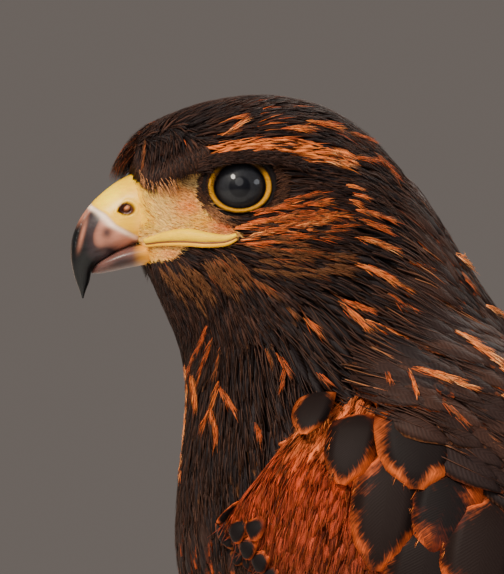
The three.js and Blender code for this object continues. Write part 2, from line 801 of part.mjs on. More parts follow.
// The toe grown by the seam, to cut the claw's root face to face
function largestToe(side, { heading, length, thick }) {
  const at = toeFrame(side, heading);
  const joints = [0.5, 0.66, 0.82, 1];
  const points = joints.map((s) => at(toeFrom + s * length, thick * 0.86 + 1.0 * Math.sin(Math.PI * s)));
  points[3] = at(toeFrom + length + seam, thick * 0.86);
  const radii = [1.02, 0.84, 0.96, 0.74].map((r) => r * thick + seam);
  return tube(points, radii, 7, 5, 0.95);
}

// Vertices on a fine grid, so that corners a hair apart become one
const grid = 1e-3;

function snap(value) {
  return Math.round(value / grid) * grid;
}

function settled(solid) {
  const geometry = geometryOf(solid);
  geometry.attributes.position.array.forEach((v, i, all) => (all[i] = snap(v)));
  return largest(solidOf(geometry));
}

// The finished bird
const bird = new THREE.Group();

function addPiece(name, solid, material) {
  const mesh = new THREE.Mesh(geometryOf(settled(settled(solid))), material);
  mesh.name = name;
  bird.add(mesh);
}

const plumage = finish(darkBrown, 0.8);
const rufous = finish(chestnut, 0.8);
const flight = finish(blackBrown, 0.7);
const bareSkin = finish(yellowSkin, 0.5);
const horn = finish(hornBlack, 0.3);
const iris = finish(0x15110f, 0.1);

addPiece("head", makeHead(), plumage);
addPiece("neck", largest(wholeBody(0).subtract(beyond(headEnd, false)).subtract(beyond(neckEnd, true))), plumage);
addPiece("torso", largest(wholeBody(0).subtract(beyond(neckEnd, false))), plumage);
addPiece("cere", turnedHead(makeCere()), bareSkin);
addPiece("bill_upper", turnedHead(makeHook()), horn);
addPiece("bill_lower", turnedHead(makeLowerBill()), horn);
addPiece("tail", makeTail(), flight);
for (const [sideName, side] of [["left", left], ["right", right]]) {
  addPiece(`eye_${sideName}`, turnedHead(eyeball(side)), iris);
  addPiece(`eyelid_${sideName}`, turnedHead(lidRing(side)), bareSkin);
  addPiece(`wing_${sideName}`, makeWing(side), flight);
  addPiece(`thigh_${sideName}`, makeThigh(side), rufous);
  addPiece(`shank_${sideName}`, makeShank(side), bareSkin);
  for (const [toeName, toe] of Object.entries(toes)) {
    addPiece(`toe_${toeName}_${sideName}`, makeToe(side, toe), bareSkin);
    addPiece(`claw_${toeName}_${sideName}`, makeClaw(side, toe), horn);
  }
}

// On the floor, with the middle of its plan over the origin
const extent = new THREE.Box3().setFromObject(bird);
const middle = extent.getCenter(new THREE.Vector3());
bird.position.set(snap(-middle.x), snap(-middle.y), -floorLevel);

export default bird;
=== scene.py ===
# A life-size Harris's hawk in full plumage, standing on a pale studio floor.
# Shapes are worked out in millimetres from the centre of the eye, as in the part's source.
# side -1 is the bird's left, and the bill points along -X.
import math

import bmesh
import bpy
import numpy as np
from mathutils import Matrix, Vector
from mathutils.bvhtree import BVHTree
from mathutils.kdtree import KDTree


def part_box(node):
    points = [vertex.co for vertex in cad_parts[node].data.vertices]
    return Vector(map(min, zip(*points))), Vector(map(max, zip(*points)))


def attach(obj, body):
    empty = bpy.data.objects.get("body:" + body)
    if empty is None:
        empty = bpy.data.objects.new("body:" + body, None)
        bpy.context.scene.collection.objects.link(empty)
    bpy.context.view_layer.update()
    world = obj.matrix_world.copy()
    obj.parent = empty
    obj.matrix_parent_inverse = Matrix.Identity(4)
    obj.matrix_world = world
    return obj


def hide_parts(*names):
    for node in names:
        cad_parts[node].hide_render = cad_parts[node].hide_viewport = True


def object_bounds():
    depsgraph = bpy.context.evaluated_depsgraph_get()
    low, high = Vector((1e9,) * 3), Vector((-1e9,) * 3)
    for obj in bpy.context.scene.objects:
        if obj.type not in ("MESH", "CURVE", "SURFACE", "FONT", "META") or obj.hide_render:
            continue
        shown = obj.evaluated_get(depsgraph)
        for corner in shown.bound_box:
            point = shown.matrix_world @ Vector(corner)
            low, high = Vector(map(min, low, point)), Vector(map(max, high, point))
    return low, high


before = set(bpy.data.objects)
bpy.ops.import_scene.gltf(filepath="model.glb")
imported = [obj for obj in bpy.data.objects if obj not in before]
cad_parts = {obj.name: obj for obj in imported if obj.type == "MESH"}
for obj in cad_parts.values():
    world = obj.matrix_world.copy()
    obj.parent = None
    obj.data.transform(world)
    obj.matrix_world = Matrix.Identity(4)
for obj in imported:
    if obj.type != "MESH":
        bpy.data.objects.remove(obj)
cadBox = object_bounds()
rng = np.random.default_rng(4955)
sides = ((-1, "Left"), (1, "Right"))
print("frame loaded")

# Curves and tables


def along(table, share):
    table = np.asarray(table, float)
    last = len(table) - 1
    place = np.clip(share, 0, 1) * last
    i = np.minimum(np.floor(place).astype(int), last - 1)
    f = (place - i)[..., None]
    a, b, c, d = (table[np.clip(i + k, 0, last)] for k in (-1, 0, 1, 2))
    return b + 0.5 * f * (c - a + f * (2 * a - 5 * b + 4 * c - d + f * (3 * (b - c) + d - a)))


def curve(values, share):
    return along(np.asarray(values, float)[:, None], np.asarray(share, float))[..., 0]


def ease(x, low, high):
    t = np.clip((x - low) / (high - low), 0, 1)
    return t * t * (3 - 2 * t)


def mix(a, b, t):
    return a + (b - a) * t


def unit(v):
    return v / np.maximum(np.linalg.norm(v, axis=-1, keepdims=True), 1e-9)


def sectionPoint(station, turn, grow):
    topX, topZ, lowX, lowZ, half, lowness = (station[..., k] for k in range(6))
    upX, upZ = (topX - lowX) / 2, (topZ - lowZ) / 2
    more = 1 + grow / np.maximum(np.hypot(upX, upZ), 0.2)
    c, s = np.cos(np.radians(turn)), np.sin(np.radians(turn))
    return np.stack([
        (topX + lowX) / 2 + upX * more * c,
        -(np.maximum(half, 0) + grow) * s * (1 - lowness * c),
        (topZ + lowZ) / 2 + upZ * more * c,
    ], -1)


# The body: head, neck and trunk as rows of upper x, z, lower x, z, half width, lowness
body = {
    "headTurn": 10.0,  # degrees, to the bird's left
    "pivot": (20.0, 0.0),
    "rows": [
        (-29.0, -4.0, -29.0, -6.0, 0.0, 0), (-27.6, 5.0, -26.4, -14.5, 8.6, 0.1),
        (-25.6, 13.6, -24.0, -19.5, 13.6, 0.06), (-15.0, 19.3, -21.4, -25.0, 18.4, 0.03),
        (-3.0, 22.3, -19.4, -29.5, 21.4, 0.0), (8.8, 22.8, -17.6, -33.5, 23.4, 0.0),
        (21.0, 20.1, -15.8, -37.5, 25.2, 0.04), (32.0, 13.0, -14.3, -42.0, 27.0, 0.08),
        (41.0, 3.0, -13.3, -48.0, 29.0, 0.1), (48.5, -8.0, -13.3, -55.0, 32.5, 0.08),
        (57.0, -21.5, -14.0, -64.0, 37.5, 0.05), (69.0, -39.5, -15.3, -75.5, 44.5, 0),
        (84.0, -62.0, -15.6, -90.0, 50.0, 0), (99.0, -86.0, -12.5, -106.5, 53.0, 0),
        (114.0, -110.0, -5.0, -126.0, 54.0, 0), (128.0, -134.0, 8.0, -148.0, 52.0, 0),
        (140.0, -157.0, 27.0, -171.0, 48.0, 0), (150.0, -177.0, 52.0, -193.0, 42.0, 0),
        (158.0, -192.0, 80.0, -211.0, 34.0, 0), (165.5, -203.5, 107.0, -225.0, 26.0, 0),
        (171.5, -212.0, 134.0, -234.0, 17.0, 0), (167.0, -224.0, 160.0, -232.0, 0.0, 0),
    ],
    # x, z, spread along x, spread along z, how far out
    "forms": [
        (-12, 9.0, 6, 3.2, 2.6), (-0.5, 10.0, 8, 3.4, 2.2), (1, 17.0, 14, 5.0, 2.6),
        (-17, -1.5, 6, 5.5, -3.0), (-3.6, 0, 7, 6.5, -2.6), (10, -13, 8, 8, 1.4), (-13.5, -14, 7, 3, 1.0),
    ],
}
lastRow = len(body["rows"]) - 1


def turnHead(points, weight=1.0):
    angle = np.radians(body["headTurn"]) * weight
    x = points[..., 0] - body["pivot"][0]
    y = points[..., 1] - body["pivot"][1]
    return np.stack([
        body["pivot"][0] + x * np.cos(angle) - y * np.sin(angle),
        body["pivot"][1] + x * np.sin(angle) + y * np.cos(angle),
        points[..., 2],
    ], -1)


def plainBody(share, turn, grow):
    point = sectionPoint(along(body["rows"], share), turn, grow)
    side = np.abs(np.sin(np.radians(turn)))
    out = sum(
        far * np.exp(-(((point[..., 0] - x) / wide) ** 2) - ((point[..., 2] - z) / high) ** 2)
        for x, z, wide, high, far in body["forms"]
    )
    point[..., 1] += np.sign(point[..., 1]) * out * side
    return point


def headWeight(share):
    return 1 - ease(share, 5 / lastRow, 11.5 / lastRow)


def bodyPlace(share, turn, grow):
    share = np.clip(share, 0, 1)
    return turnHead(plainBody(share, turn, grow), headWeight(share))


def seenFrom(point, weight=1.0):
    # Where a place of either side shows when the bird is seen from its left, its head turned
    flat = np.stack([point[..., 0], -np.abs(point[..., 1]), point[..., 2]], -1)
    return turnHead(flat, weight)


def bodySeen(share, turn):
    plain = plainBody(np.clip(share, 0, 1), turn, 0 * share)
    seen = seenFrom(plain, headWeight(share))
    return seen[..., 0], seen[..., 2], np.abs(plain[..., 1])


# From the eye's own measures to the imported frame, in metres
def boxCentre(node):
    low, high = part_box(node)
    return np.array((low + high) / 2) * 1000


eyeAhead = 2.4
origin = (boxCentre("eye_left") + boxCentre("eye_right")) / 2 - turnHead(np.array([-eyeAhead, 0.0, 0.0]))


def metres(points):
    return (np.asarray(points, float) + origin) / 1000


# The folded wing lies on a shell of the same kind of rows
shell = {
    "rows": [
        (24, -44, -17, -98, 46, 0), (60, -38, -2, -128, 55.5, 0), (93, -68, 22, -152, 59, 0),
        (119, -101, 50, -180, 57.5, 0), (141, -134, 80, -204, 52.5, 0), (160, -166, 113, -222, 46, 0),
        (177, -194, 147, -229, 40, 0), (197, -215, 180, -238, 33, 0),
        (223, -239.5, 209.5, -257.5, 28, 0), (249, -263.5, 240, -275.5, 22, 0),
    ],
    "backDrop": 6.5,  # the shell comes down to the back towards the middle plane
    "arm": {"to": 0.62, "high": 8, "low": 120},
}


def shellPlace(side):
    def place(a, b, h):
        def at(s, t):
            return sectionPoint(along(shell["rows"], s), t, 0.0)

        lengthwise = at(a + 0.004, b) - at(a - 0.004, b)
        across = at(a, b + 1) - at(a, b - 1)
        out = unit(np.cross(across, lengthwise))
        lift = h - shell["backDrop"] * (1 - ease(b, 8, 50))
        point = at(a, b) + out * np.asarray(lift)[..., None]
        return point * np.array([1, -side, 1])

    return place


def armHeight(a, b):
    arm = shell["arm"]
    lengthwise = a / arm["to"]
    across = np.clip((b - arm["high"]) / (arm["low"] - arm["high"]), 0, 1)
    around = np.sqrt(1 - (2 * across - 1) ** 4) * np.minimum(1, np.sqrt(np.clip(lengthwise / 0.2, 0, 1)))
    return -4 + (9.4 - 8.9 * ease(lengthwise, 0.3, 0.75)) * around


tail = {
    "base": (160.0, -215.0),
    "length": 215.0,
    "slope": 37.0,
    "feathers": 12,
    "upperTailCoverts": {"start": -24, "reach": 46, "shorter": 0, "lift": 3.4, "rise": -0.7, "root": -3.0,
                         "way": 1},
    "underTailCoverts": {"start": -32, "reach": 58, "shorter": 2, "lift": -12.2, "rise": 0.8, "root": -7.0,
                         "way": -1},
}


def tailPlace(a, b, h):
    slope = math.radians(tail["slope"])
    up = h - b ** 2 / 160
    return np.stack([
        tail["base"][0] + a * math.cos(slope) + up * math.sin(slope),
        b + 0 * a,
        tail["base"][1] - a * math.sin(slope) + up * math.cos(slope),
    ], -1)


leg = {
    "spread": 30.0,
    "ankle": (95.0, -271.0),
    "foot": (79.0, -344.0),
    "floor": -353.0,
    "thigh": [
        (112, -150, 96, -146, 0, 0), (128, -172, 62, -164, 17, 0), (131, -198, 55, -188, 20, 0),
        (124, -221, 57, -211, 18.5, 0), (114, -240, 66, -232, 14.5, 0), (107, -257, 77, -251, 10.5, 0),
        (104, -268, 84.5, -265, 7.6, 0), (97, -274, 92, -273.5, 0, 0),
    ],
}


def thighPlace(side):
    def place(a, b, h):
        point = sectionPoint(along(leg["thigh"], np.clip(a, 0, 1)), b, h)
        return point + np.array([0, side * (leg["spread"] - 1), 0])

    return place


# Meshes from arrays, for what is repeated many times


def arrayMesh(name, points, faces, layers, tones):
    mesh = bpy.data.meshes.new(name)
    mesh.vertices.add(len(points))
    mesh.vertices.foreach_set("co", metres(points).astype(np.float32).ravel())
    sizes = np.concatenate([np.full(len(f), f.shape[1]) for f in faces])
    corners = np.concatenate([f.ravel() for f in faces])
    mesh.loops.add(len(corners))
    mesh.loops.foreach_set("vertex_index", corners.astype(np.int32))
    mesh.polygons.add(len(sizes))
    mesh.polygons.foreach_set("loop_start", (np.cumsum(sizes) - sizes).astype(np.int32))
    mesh.polygons.foreach_set("use_smooth", np.ones(len(sizes), bool))
    for layer, uv in layers.items():
        mesh.uv_layers.new(name=layer).data.foreach_set("uv", uv[corners].astype(np.float32).ravel())
    for tone, values in tones.items():
        layer = mesh.attributes.new(tone, "FLOAT_COLOR", "POINT")
        layer.data.foreach_set("color", values.astype(np.float32).ravel())
    mesh.update(calc_edges=True)
    mesh.validate()
    return mesh


# The cross-section of a blade: places across it from -1 to 1, once round, with how high each lies
strand = [(-1, 0.0), (0, 0.9), (1, 0.0)]
lens = [(-1, 0.0), (0, 1.0), (1, 0.0), (0, 0.35)]
vane = [(-1, 0.0), (-0.5, 0.75), (0, 1.0), (0.5, 0.75), (1, 0.0), (0.5, 0.45), (0, 0.7), (-0.5, 0.45)]


def surfaceFrame(place, hand, a, b):
    # The ways in which a and b run at places on a surface, per unit of each, and the way out
    forward = (place(a + place.step, b, 0.0 * a) - place(a - place.step, b, 0.0 * a)) / (2 * place.step)
    across = place(a, b + 0.5, 0.0 * a) - place(a, b - 0.5, 0.0 * a)
    return forward, across, hand * unit(np.cross(across, forward))


def squareFrame(forward, across):
    # Two ways at right angles on the surface, ahead along a and sideways from it
    ahead = unit(forward)
    return ahead, unit(across - ahead * np.sum(across * ahead, -1, keepdims=True))


def yawTowards(place, hand, a, b, x, z):
    # The turn from the way of a that makes a blade run along x, z as seen from the side
    ahead, sideways = squareFrame(*surfaceFrame(place, hand, a, b)[:2])
    det = ahead[:, 0] * sideways[:, 2] - ahead[:, 2] * sideways[:, 0]
    det = np.where(np.abs(det) < 0.05, 0.05, det)
    turned = (ahead[:, 0] * z - ahead[:, 2] * x) / det
    return np.arctan2(turned, (x * sideways[:, 2] - z * sideways[:, 0]) / det)


def stepsFor(place, hand, a, b, length, yaw):
    # How far a and b change over a blade of that length and yaw
    forward, across, _ = surfaceFrame(place, hand, a, b)
    ahead, sideways = squareFrame(forward, across)
    way = ahead * np.cos(yaw)[:, None] + sideways * np.sin(yaw)[:, None]
    ff, fa, aa = (np.sum(p * q, -1) for p, q in ((forward, forward), (forward, across), (across, across)))
    fd, ad = np.sum(forward * way, -1) * length, np.sum(across * way, -1) * length
    det = np.maximum(ff * aa - fa * fa, 1e-6)
    return (aa * fd - fa * ad) / det, (ff * ad - fa * fd) / det


def blades(place, hand, roots, steps, width, heights, style):
    a, b = roots
    n = len(a)
    shape = np.asarray(style["shape"], float)
    shares = np.linspace(0, 1, len(shape)) ** style.get("pace", 1.0)
    t = shares[None, :]
    flatA = (a[:, None] + steps[0][:, None] * t).ravel()
    flatB = (b[:, None] + steps[1][:, None] * t).ravel()
    lift = heightRows(heights, shares)
    spine = place(flatA, flatB, lift.ravel()).reshape(n, -1, 3)
    up = surfaceFrame(place, hand, flatA, flatB)[2].reshape(n, -1, 3)
    right = unit(np.cross(up, np.gradient(spine, axis=1)))
    half = (width[:, None] / 2) * shape[None, :]
    full = np.minimum(1, half / (0.2 * width[:, None]))
    tilt = np.broadcast_to(style.get("tilt", 0.0), n)[:, None]
    thick = style["camber"] * width
    points = []
    for u, high in style["section"]:
        rise = (high * thick)[:, None] * full + tilt * u * full
        points.append(spine + right * (u * half)[..., None] + up * rise[..., None])
    return np.stack(points, 2), shares  # blade, step, place round the section, xyz


def heightRows(heights, shares):
    places = np.linspace(0, 1, heights.shape[1])
    i = np.clip(np.searchsorted(places, shares, side="right") - 1, 0, len(places) - 2)
    f = (shares - places[i]) / (places[i + 1] - places[i])
    return heights[:, i] * (1 - f) + heights[:, i + 1] * f


def bladeFaces(n, steps, around):
    first = np.arange(n)[:, None] * (steps * around)
    walls = []
    for j in range(steps - 1):
        for k in range(around):
            m = (k + 1) % around
            walls.append((j * around + k, (j + 1) * around + k, (j + 1) * around + m, j * around + m))
    walls = (first[:, :, None] + np.array(walls)[None]).reshape(-1, 4)
    root = first + np.arange(around)
    tip = first + (steps - 1) * around + np.arange(around)[::-1]
    return [walls, root, tip]


def rows(*columns):
    return np.stack(np.broadcast_arrays(*columns), 1)


def addObject(name, data):
    thing = bpy.data.objects.new(name, data)
    bpy.context.scene.collection.objects.link(thing)
    return thing


def announce(piece, slot=None, *nodes):
    # Every piece rides on the one body, and some take the place of solids
    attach(piece, "root")
    if nodes:
        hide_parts(*nodes)


def coatPiece(name, place, hand, roots, sizes, looks, style, material, unwrap):
    # One object of many blades, with its colours, its own blade map and its patch on the unwrap.
    # sizes: length, width, yaw, heights. looks: colour, colour of the rim and how strong the rim is.
    n = len(roots[0])
    length, width, yaw = (np.broadcast_to(size, n) for size in sizes[:3])
    tone, rim, strength = looks
    steps = (length, yaw) if style.get("toTips") else stepsFor(place, hand, *roots, length, yaw)
    ring, shares = blades(place, hand, roots, steps, width, sizes[3], style)
    steps, around = ring.shape[1:3]
    bladeMap = np.empty((n, steps, around, 2))
    bladeMap[..., 0] = np.array([u for u, _ in style["section"]]) / 2 + 0.5
    bladeMap[..., 1] = shares[None, :, None]
    patch = np.asarray(style.get("patch", 0.003))
    bakeMap = unwrap(*roots)[:, None, None, :] + (bladeMap - 0.5) * np.reshape(patch, (-1, 1, 1, 1))
    mesh = arrayMesh(
        name, ring.reshape(-1, 3), bladeFaces(n, steps, around),
        {"blade": bladeMap.reshape(-1, 2), "OFBake": bakeMap.reshape(-1, 2)},
        {"tone": np.repeat(withStrength(tone, 1.0, n), steps * around, 0),
         "rim": np.repeat(withStrength(rim, strength, n), steps * around, 0)},
    )
    mesh.materials.append(material)
    piece = addObject(name, mesh)
    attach(piece, "root")
    return piece


bodyPlace.step = 0.002
thighSurfaces = {side: thighPlace(side) for side in (-1, 1)}
shellSurfaces = {side: shellPlace(side) for side in (-1, 1)}
for surface in [*thighSurfaces.values(), *shellSurfaces.values()]:
    surface.step = 0.004
tailPlace.step = 0.5


def valueAt(rule, a):
    return rule(a) if callable(rule) else rule


def between(places, values):
    return lambda a: np.interp(a, places, values)


def lengthAlong(line):
    return np.concatenate([[0], np.cumsum(np.linalg.norm(np.diff(line, axis=0), axis=1))])


def gridOver(spanA, spanB, countA, countB):
    grid = np.meshgrid(np.linspace(*spanA, countA), np.linspace(*spanB, countB), indexing="ij")
    return grid[0].ravel(), grid[1].ravel()


def scatter(place, spanA, spanB, rowStep, columnStep, jitter=0.35):
    # Rows of places on a surface, the steps in millimetres, each one number or a function of a
    fine, turns = np.linspace(*spanA, 400), np.linspace(*spanB, 90)
    run = lengthAlong(place(fine, np.full_like(fine, sum(spanB) / 2), 0 * fine))
    allA, allB, at, row = [], [], 0.0, 0
    while at < run[-1]:
        a = np.interp(at, run, fine)
        around = lengthAlong(place(np.full_like(turns, a), turns, 0 * turns))
        count = max(int(around[-1] / valueAt(columnStep, a)), 1)
        spots = (np.arange(count) + 0.5 * (row % 2) + rng.uniform(-jitter, jitter, count)) / count
        allB.append(np.interp(np.clip(spots, 0, 1) * around[-1], around, turns))
        slip = rng.uniform(-jitter, jitter, count) * valueAt(rowStep, a)
        allA.append(np.interp(np.clip(at + slip, 0, run[-1]), run, fine))
        at += valueAt(rowStep, a)
        row += 1
    return np.concatenate(allA), np.concatenate(allB)


def makeStreaks(cellsA, cellsB):
    # Smooth random values, long along a and narrow across it
    cells = rng.random((cellsA + 1, cellsB))

    def at(a, b):
        x = np.clip(a, 0, 1) * (cellsA - 0.001)
        y = np.mod(b / 360, 1) * cellsB
        i, j = np.floor(x).astype(int), np.floor(y).astype(int)
        f, g = ease(x - i, 0, 1), ease(y - j, 0, 1)
        j, k = j % cellsB, (j + 1) % cellsB
        return mix(mix(cells[i, j], cells[i, k], g), mix(cells[i + 1, j], cells[i + 1, k], g), f)

    return at


# Colours, as linear light
plumage = {
    "charcoal": (0.0115, 0.0080, 0.0085),
    "umber": (0.058, 0.024, 0.015),
    "tan": (0.25, 0.10, 0.042),
    "rust": (0.55, 0.088, 0.020),
    "flame": (0.92, 0.255, 0.052),
    "patch": (0.33, 0.045, 0.016),
    "chestnut": (0.26, 0.055, 0.02),
    "white": (0.80, 0.74, 0.66),
    "flight": (0.022, 0.017, 0.016),
}
plumage = {name: np.array(colour) for name, colour in plumage.items()}


def blend(low, high, share):
    low, high = np.asarray(low), np.asarray(high)
    return low + (high - low) * np.asarray(share)[..., None]


def withStrength(colour, strength, n):
    strength = np.broadcast_to(strength, n)
    return np.concatenate([np.broadcast_to(colour, (n, 3)), strength[:, None]], 1)


def spot(x, z, centreX, centreZ, wide, high, tilt=0.0):
    c, s = math.cos(math.radians(tilt)), math.sin(math.radians(tilt))
    dx, dz = x - centreX, z - centreZ
    return np.exp(-(((dx * c + dz * s) / wide) ** 2) - ((dz * c - dx * s) / high) ** 2)


def smudge(x, z, places):
    # Soft spots together: x, z, width, height, tilt and strength of each
    return np.clip(sum(k * spot(x, z, cx, cz, w, h, t) for cx, cz, w, h, t, k in places), 0, 1)


def rustShare(x, z):
    # How much of the coat is rusty at a place of the head, from 0 to 1
    line = np.interp(x, [-9, -1, 4, 11, 15, 22, 29], [9.1, 10.0, 9.9, 9.5, 9.4, 8.2, 6.0])
    wide = np.interp(x, [-9, -1, 15, 29], [1.0, 2.4, 3.2, 2.2])
    brow = 0.95 * np.exp(-(((z - line) / wide) ** 4)) * ease(x, -9.6, -7.4) * (1 - ease(x, 24, 32))
    cheek = 0.62 * spot(x, z, 12, -8.4, 11, 5.6, 6) * ease(x, -1.5, 3)
    low = 0.26 * spot(x, z, 12, -18, 12, 6)
    crown = 0.14 * ease(z, 11, 16) * ease(x, -8, 6)
    fore = 0.10 * (1 - ease(x, -22, -10)) * ease(z, 2, 8)
    nape = 0.12 * spot(x, z, 34, -6, 9, 12, -50)
    stripe = spot(x, z, 20, 4.0, 13, 1.9)
    return np.clip(np.maximum.reduce([brow, cheek, low, crown, fore, nape]) - 0.6 * stripe, 0.0, 1)


# Rusty streaks that stand out, and three of painted rim light along the neck's front edge: x, z of root and
# tip, half width, brightness
strokes = [
    (29, -19.1, 41.5, -26.1, 1.1, 1.0), (36.5, -26.3, 38.2, -28.4, 0.7, 0.6),
    (40.3, -28.8, 42.3, -30.2, 0.6, 0.7), (44.3, -29.6, 46.8, -31.0, 0.6, 0.7),
    (24.2, -28.3, 30.5, -34.6, 1.1, 0.95), (29.8, -32.6, 42.0, -39.8, 0.85, 1.0),
    (25.2, -28.1, 32.0, -30.9, 0.7, 0.8), (53.0, -36.3, 66.5, -48.2, 1.1, 1.2),
    (42.5, -44.7, 57.0, -50.8, 0.9, 1.1), (40.6, -45.0, 42.6, -51.2, 0.55, 0.9),
    (35.7, -45.4, 36.1, -47.2, 0.5, 0.7), (16.0, -32.2, 19.0, -35.6, 0.6, 0.8),
    (18.8, -45.6, 20.5, -47.2, 0.6, 0.6), (26.5, -43.4, 34.0, -45.0, 0.5, 0.4),
    (53.0, -17.4, 56.8, -21.3, 0.9, 1.2), (53.7, -21.7, 56.2, -25.8, 0.6, 0.5),
    (60.3, -30.0, 67.0, -35.4, 0.7, 1.2), (42.0, -18.6, 46.5, -20.6, 0.6, 0.8),
    (48.7, -23.9, 50.3, -24.7, 0.4, 0.8), (49.5, -28.4, 52.9, -31.2, 1.0, 0.35),
    (63.3, -51.4, 67.0, -54.0, 0.9, 1.2), (49.0, -52.8, 53.6, -58.0, 0.6, 0.5),
    (-7.8, -33.5, -11.1, -40.9, 0.45, 0.6), (-11.0, -40.5, -13.2, -45.6, 0.5, 0.75),
    (-6.4, -36.5, -9.0, -42.3, 0.4, 0.6), (-8.9, -42.0, -9.9, -46.2, 0.4, 0.7),
    (-4.5, -39.3, -6.4, -46.2, 0.35, 0.45), (-12.2, -45.0, -11.0, -54.0, 0.8, 0.95),
    (-5.4, -48.3, -7.2, -54.8, 0.8, 0.95), (-4.9, -49.5, -1.2, -55.8, 0.6, 0.8),
    (-7.7, -54.4, -9.1, -59.0, 0.4, 0.75), (-7.2, -54.2, -5.5, -63.2, 0.6, 0.85),
    (8.9, -40.8, 11.5, -44.7, 0.55, 0.65), (11.3, -44.2, 10.4, -48.2, 0.5, 0.6),
    # the last streak on this line and the two on the next are painted rim light along the neck's front edge
    (6.4, -40.0, 7.4, -42.5, 0.45, 0.4), (-13.9, -44, -13.7, -54, 0.5, 1.1),
    (-13.8, -53, -15.0, -64, 0.5, 1.2), (-14.6, -62, -15.5, -74, 0.5, 1.1),
    (4.0, -58.0, 5.0, -63.0, 0.4, 0.6), (3.0, -22.8, 8.6, -26.8, 0.8, 0.42),
    (11.6, -29.4, 13.1, -31.2, 0.5, 0.4), (-0.5, -10.0, 12.5, -7.9, 0.8, 0.95),
    (1.0, -13.0, 12.5, -10.1, 0.7, 1.05), (13.0, -9.9, 20.5, -9.0, 0.8, 1.1),
    (16.5, -7.7, 26.0, -7.3, 0.7, 1.0), (16.0, -4.6, 21.0, -4.0, 0.8, 0.95),
    (4.0, -6.8, 14.0, -4.6, 0.6, 0.8), (1.0, -14.2, 8.5, -14.0, 0.5, 0.75),
    (9.0, -12.4, 17.0, -12.6, 0.5, 0.7), (10.0, -15.6, 20.0, -16.8, 0.6, 0.45),
    (26.0, 0.6, 28.0, 0.0, 0.7, 1.0), (27.8, -1.7, 29.8, -2.6, 0.6, 0.95),
    (26.5, -3.2, 28.4, -4.0, 0.6, 0.9), (28.8, -5.8, 38.8, -9.2, 0.6, 0.85),
    (29.0, -8.0, 36.6, -11.5, 0.6, 0.8), (28.8, -12.4, 38.0, -16.0, 0.9, 1.1),
    (10.2, 14.4, 17.7, 13.9, 0.7, 1.0), (16.8, 16.4, 25.0, 14.3, 0.6, 0.9),
    (-4.6, 12.5, 0.9, 15.6, 0.6, 1.1), (-3.3, 16.6, -1.0, 16.9, 0.4, 0.9),
    (26.6, 13.7, 33.8, 10.8, 0.7, 0.75), (27.8, 7.3, 33.8, 6.3, 0.6, 0.8), (33.4, 8.8, 38.8, 1.8, 0.6, 0.6),
    (22.5, 8.8, 27.3, 6.3, 0.7, 1.1), (20.0, 6.8, 27.6, 4.6, 0.6, 1.1), (-23.5, 11.5, -25.2, 2.5, 0.4, 0.4),
    (-26.0, 12.0, -29.5, 4.0, 0.4, 0.4),
]
for k in range(22):
    slip, reach = rng.uniform(-0.8, 0.8), rng.uniform(0.25, 0.8)
    startX, startZ = -20 + 0.85 * k + slip, -18.8 + 0.13 * k - 3.0 * rng.random()
    strokes.append((startX, startZ, startX + 11.5 * reach, startZ - (15.5 - 0.22 * k) * reach, 0.15,
                    0.18 + 0.006 * k + 0.12 * rng.random()))
for k in range(44):
    startX, startZ = rng.uniform(2, 22), rng.uniform(-21, -3)
    run = rng.uniform(3, 7)
    strokes.append((startX, startZ, startX + run, startZ + run * mix(-0.3, 0.2, (startZ + 21) / 18), 0.2,
                    mix(0.3, 0.75, (startZ + 21) / 18) * rng.uniform(0.7, 1.1)))


def onMantle(row):
    return row[0] > 31 and row[1] < -26 - 0.55 * (row[0] - 31)


def strokeField(x, z):
    # How bright the streaks are at each place, the painted rim light along the neck's front edge among them
    field = np.zeros(np.shape(x))
    for x0, z0, x1, z1, half, bright in strokes:
        dx, dz = x1 - x0, z1 - z0
        t = np.clip(((x - x0) * dx + (z - z0) * dz) / (dx * dx + dz * dz), 0, 1)
        gap = np.hypot(x - x0 - t * dx, z - z0 - t * dz)
        wide = half * (0.4 + 0.6 * np.sin(np.pi * t ** 0.7))
        field = np.maximum(field, bright * np.exp(-((gap / wide) ** 2)))
    return field


# How the plumage lies, as seen from the bird's left: x, z, and the way there
lie = np.array([
    (-25, 8, -0.25, -1.0), (-20, 6, 0.0, -1.0), (-17, 11, -0.1, -1.0), (-13, 8, 0.5, -0.85),
    (-8, 9.5, 1, 0.30), (-22, 16, 0.3, 0.9), (-12, 18, 0.9, 0.45), (0, 10, 1, 0.15), (0, 19, 1, 0.3),
    (12, 10, 1, 0.0), (12, 20, 1, 0.0), (25, 8, 1, -0.35), (26, 15, 0.85, -0.5), (36, 4, 0.7, -0.7),
    (20, 3, 1, -0.05), (5, -9, 1, 0.2), (15, -9, 1, 0.1), (25, -8, 0.95, -0.3), (3, -15, 1, 0.0),
    (12, -18, 0.95, -0.25), (-16, -22, 0.6, -0.8), (-8, -27, 0.6, -0.8), (3, -28, 0.75, -0.65),
    (-13, -40, -0.25, -1.0), (0, -40, 0.1, -1), (9, -45, 0.25, -1), (15, -34, 0.7, -0.7),
    (35, -22, 0.85, -0.5), (34, -36, 0.85, -0.5), (45, -47, 0.9, -0.4), (58, -40, 0.75, -0.66),
    (25, -49, 1, -0.3), (62, -62, 0.8, -0.6), (-10, -60, 0.0, -1.0), (5, -60, 0.05, -1.0),
    (-10, -90, 0.1, -1.0), (46, -8, 0.6, -0.8), (-24, -20, 0.2, -1.0), (-12, -16.5, 0.9, -0.3),
])


def wayAt(x, z):
    weight = 1 / ((x[:, None] - lie[:, 0]) ** 2 + (z[:, None] - lie[:, 1]) ** 2 + 6) ** 2
    dx, dz = weight @ lie[:, 2], weight @ lie[:, 3]
    size = np.maximum(np.hypot(dx, dz), 1e-6)
    return dx / size, dz / size


print("tables ready")

# Materials


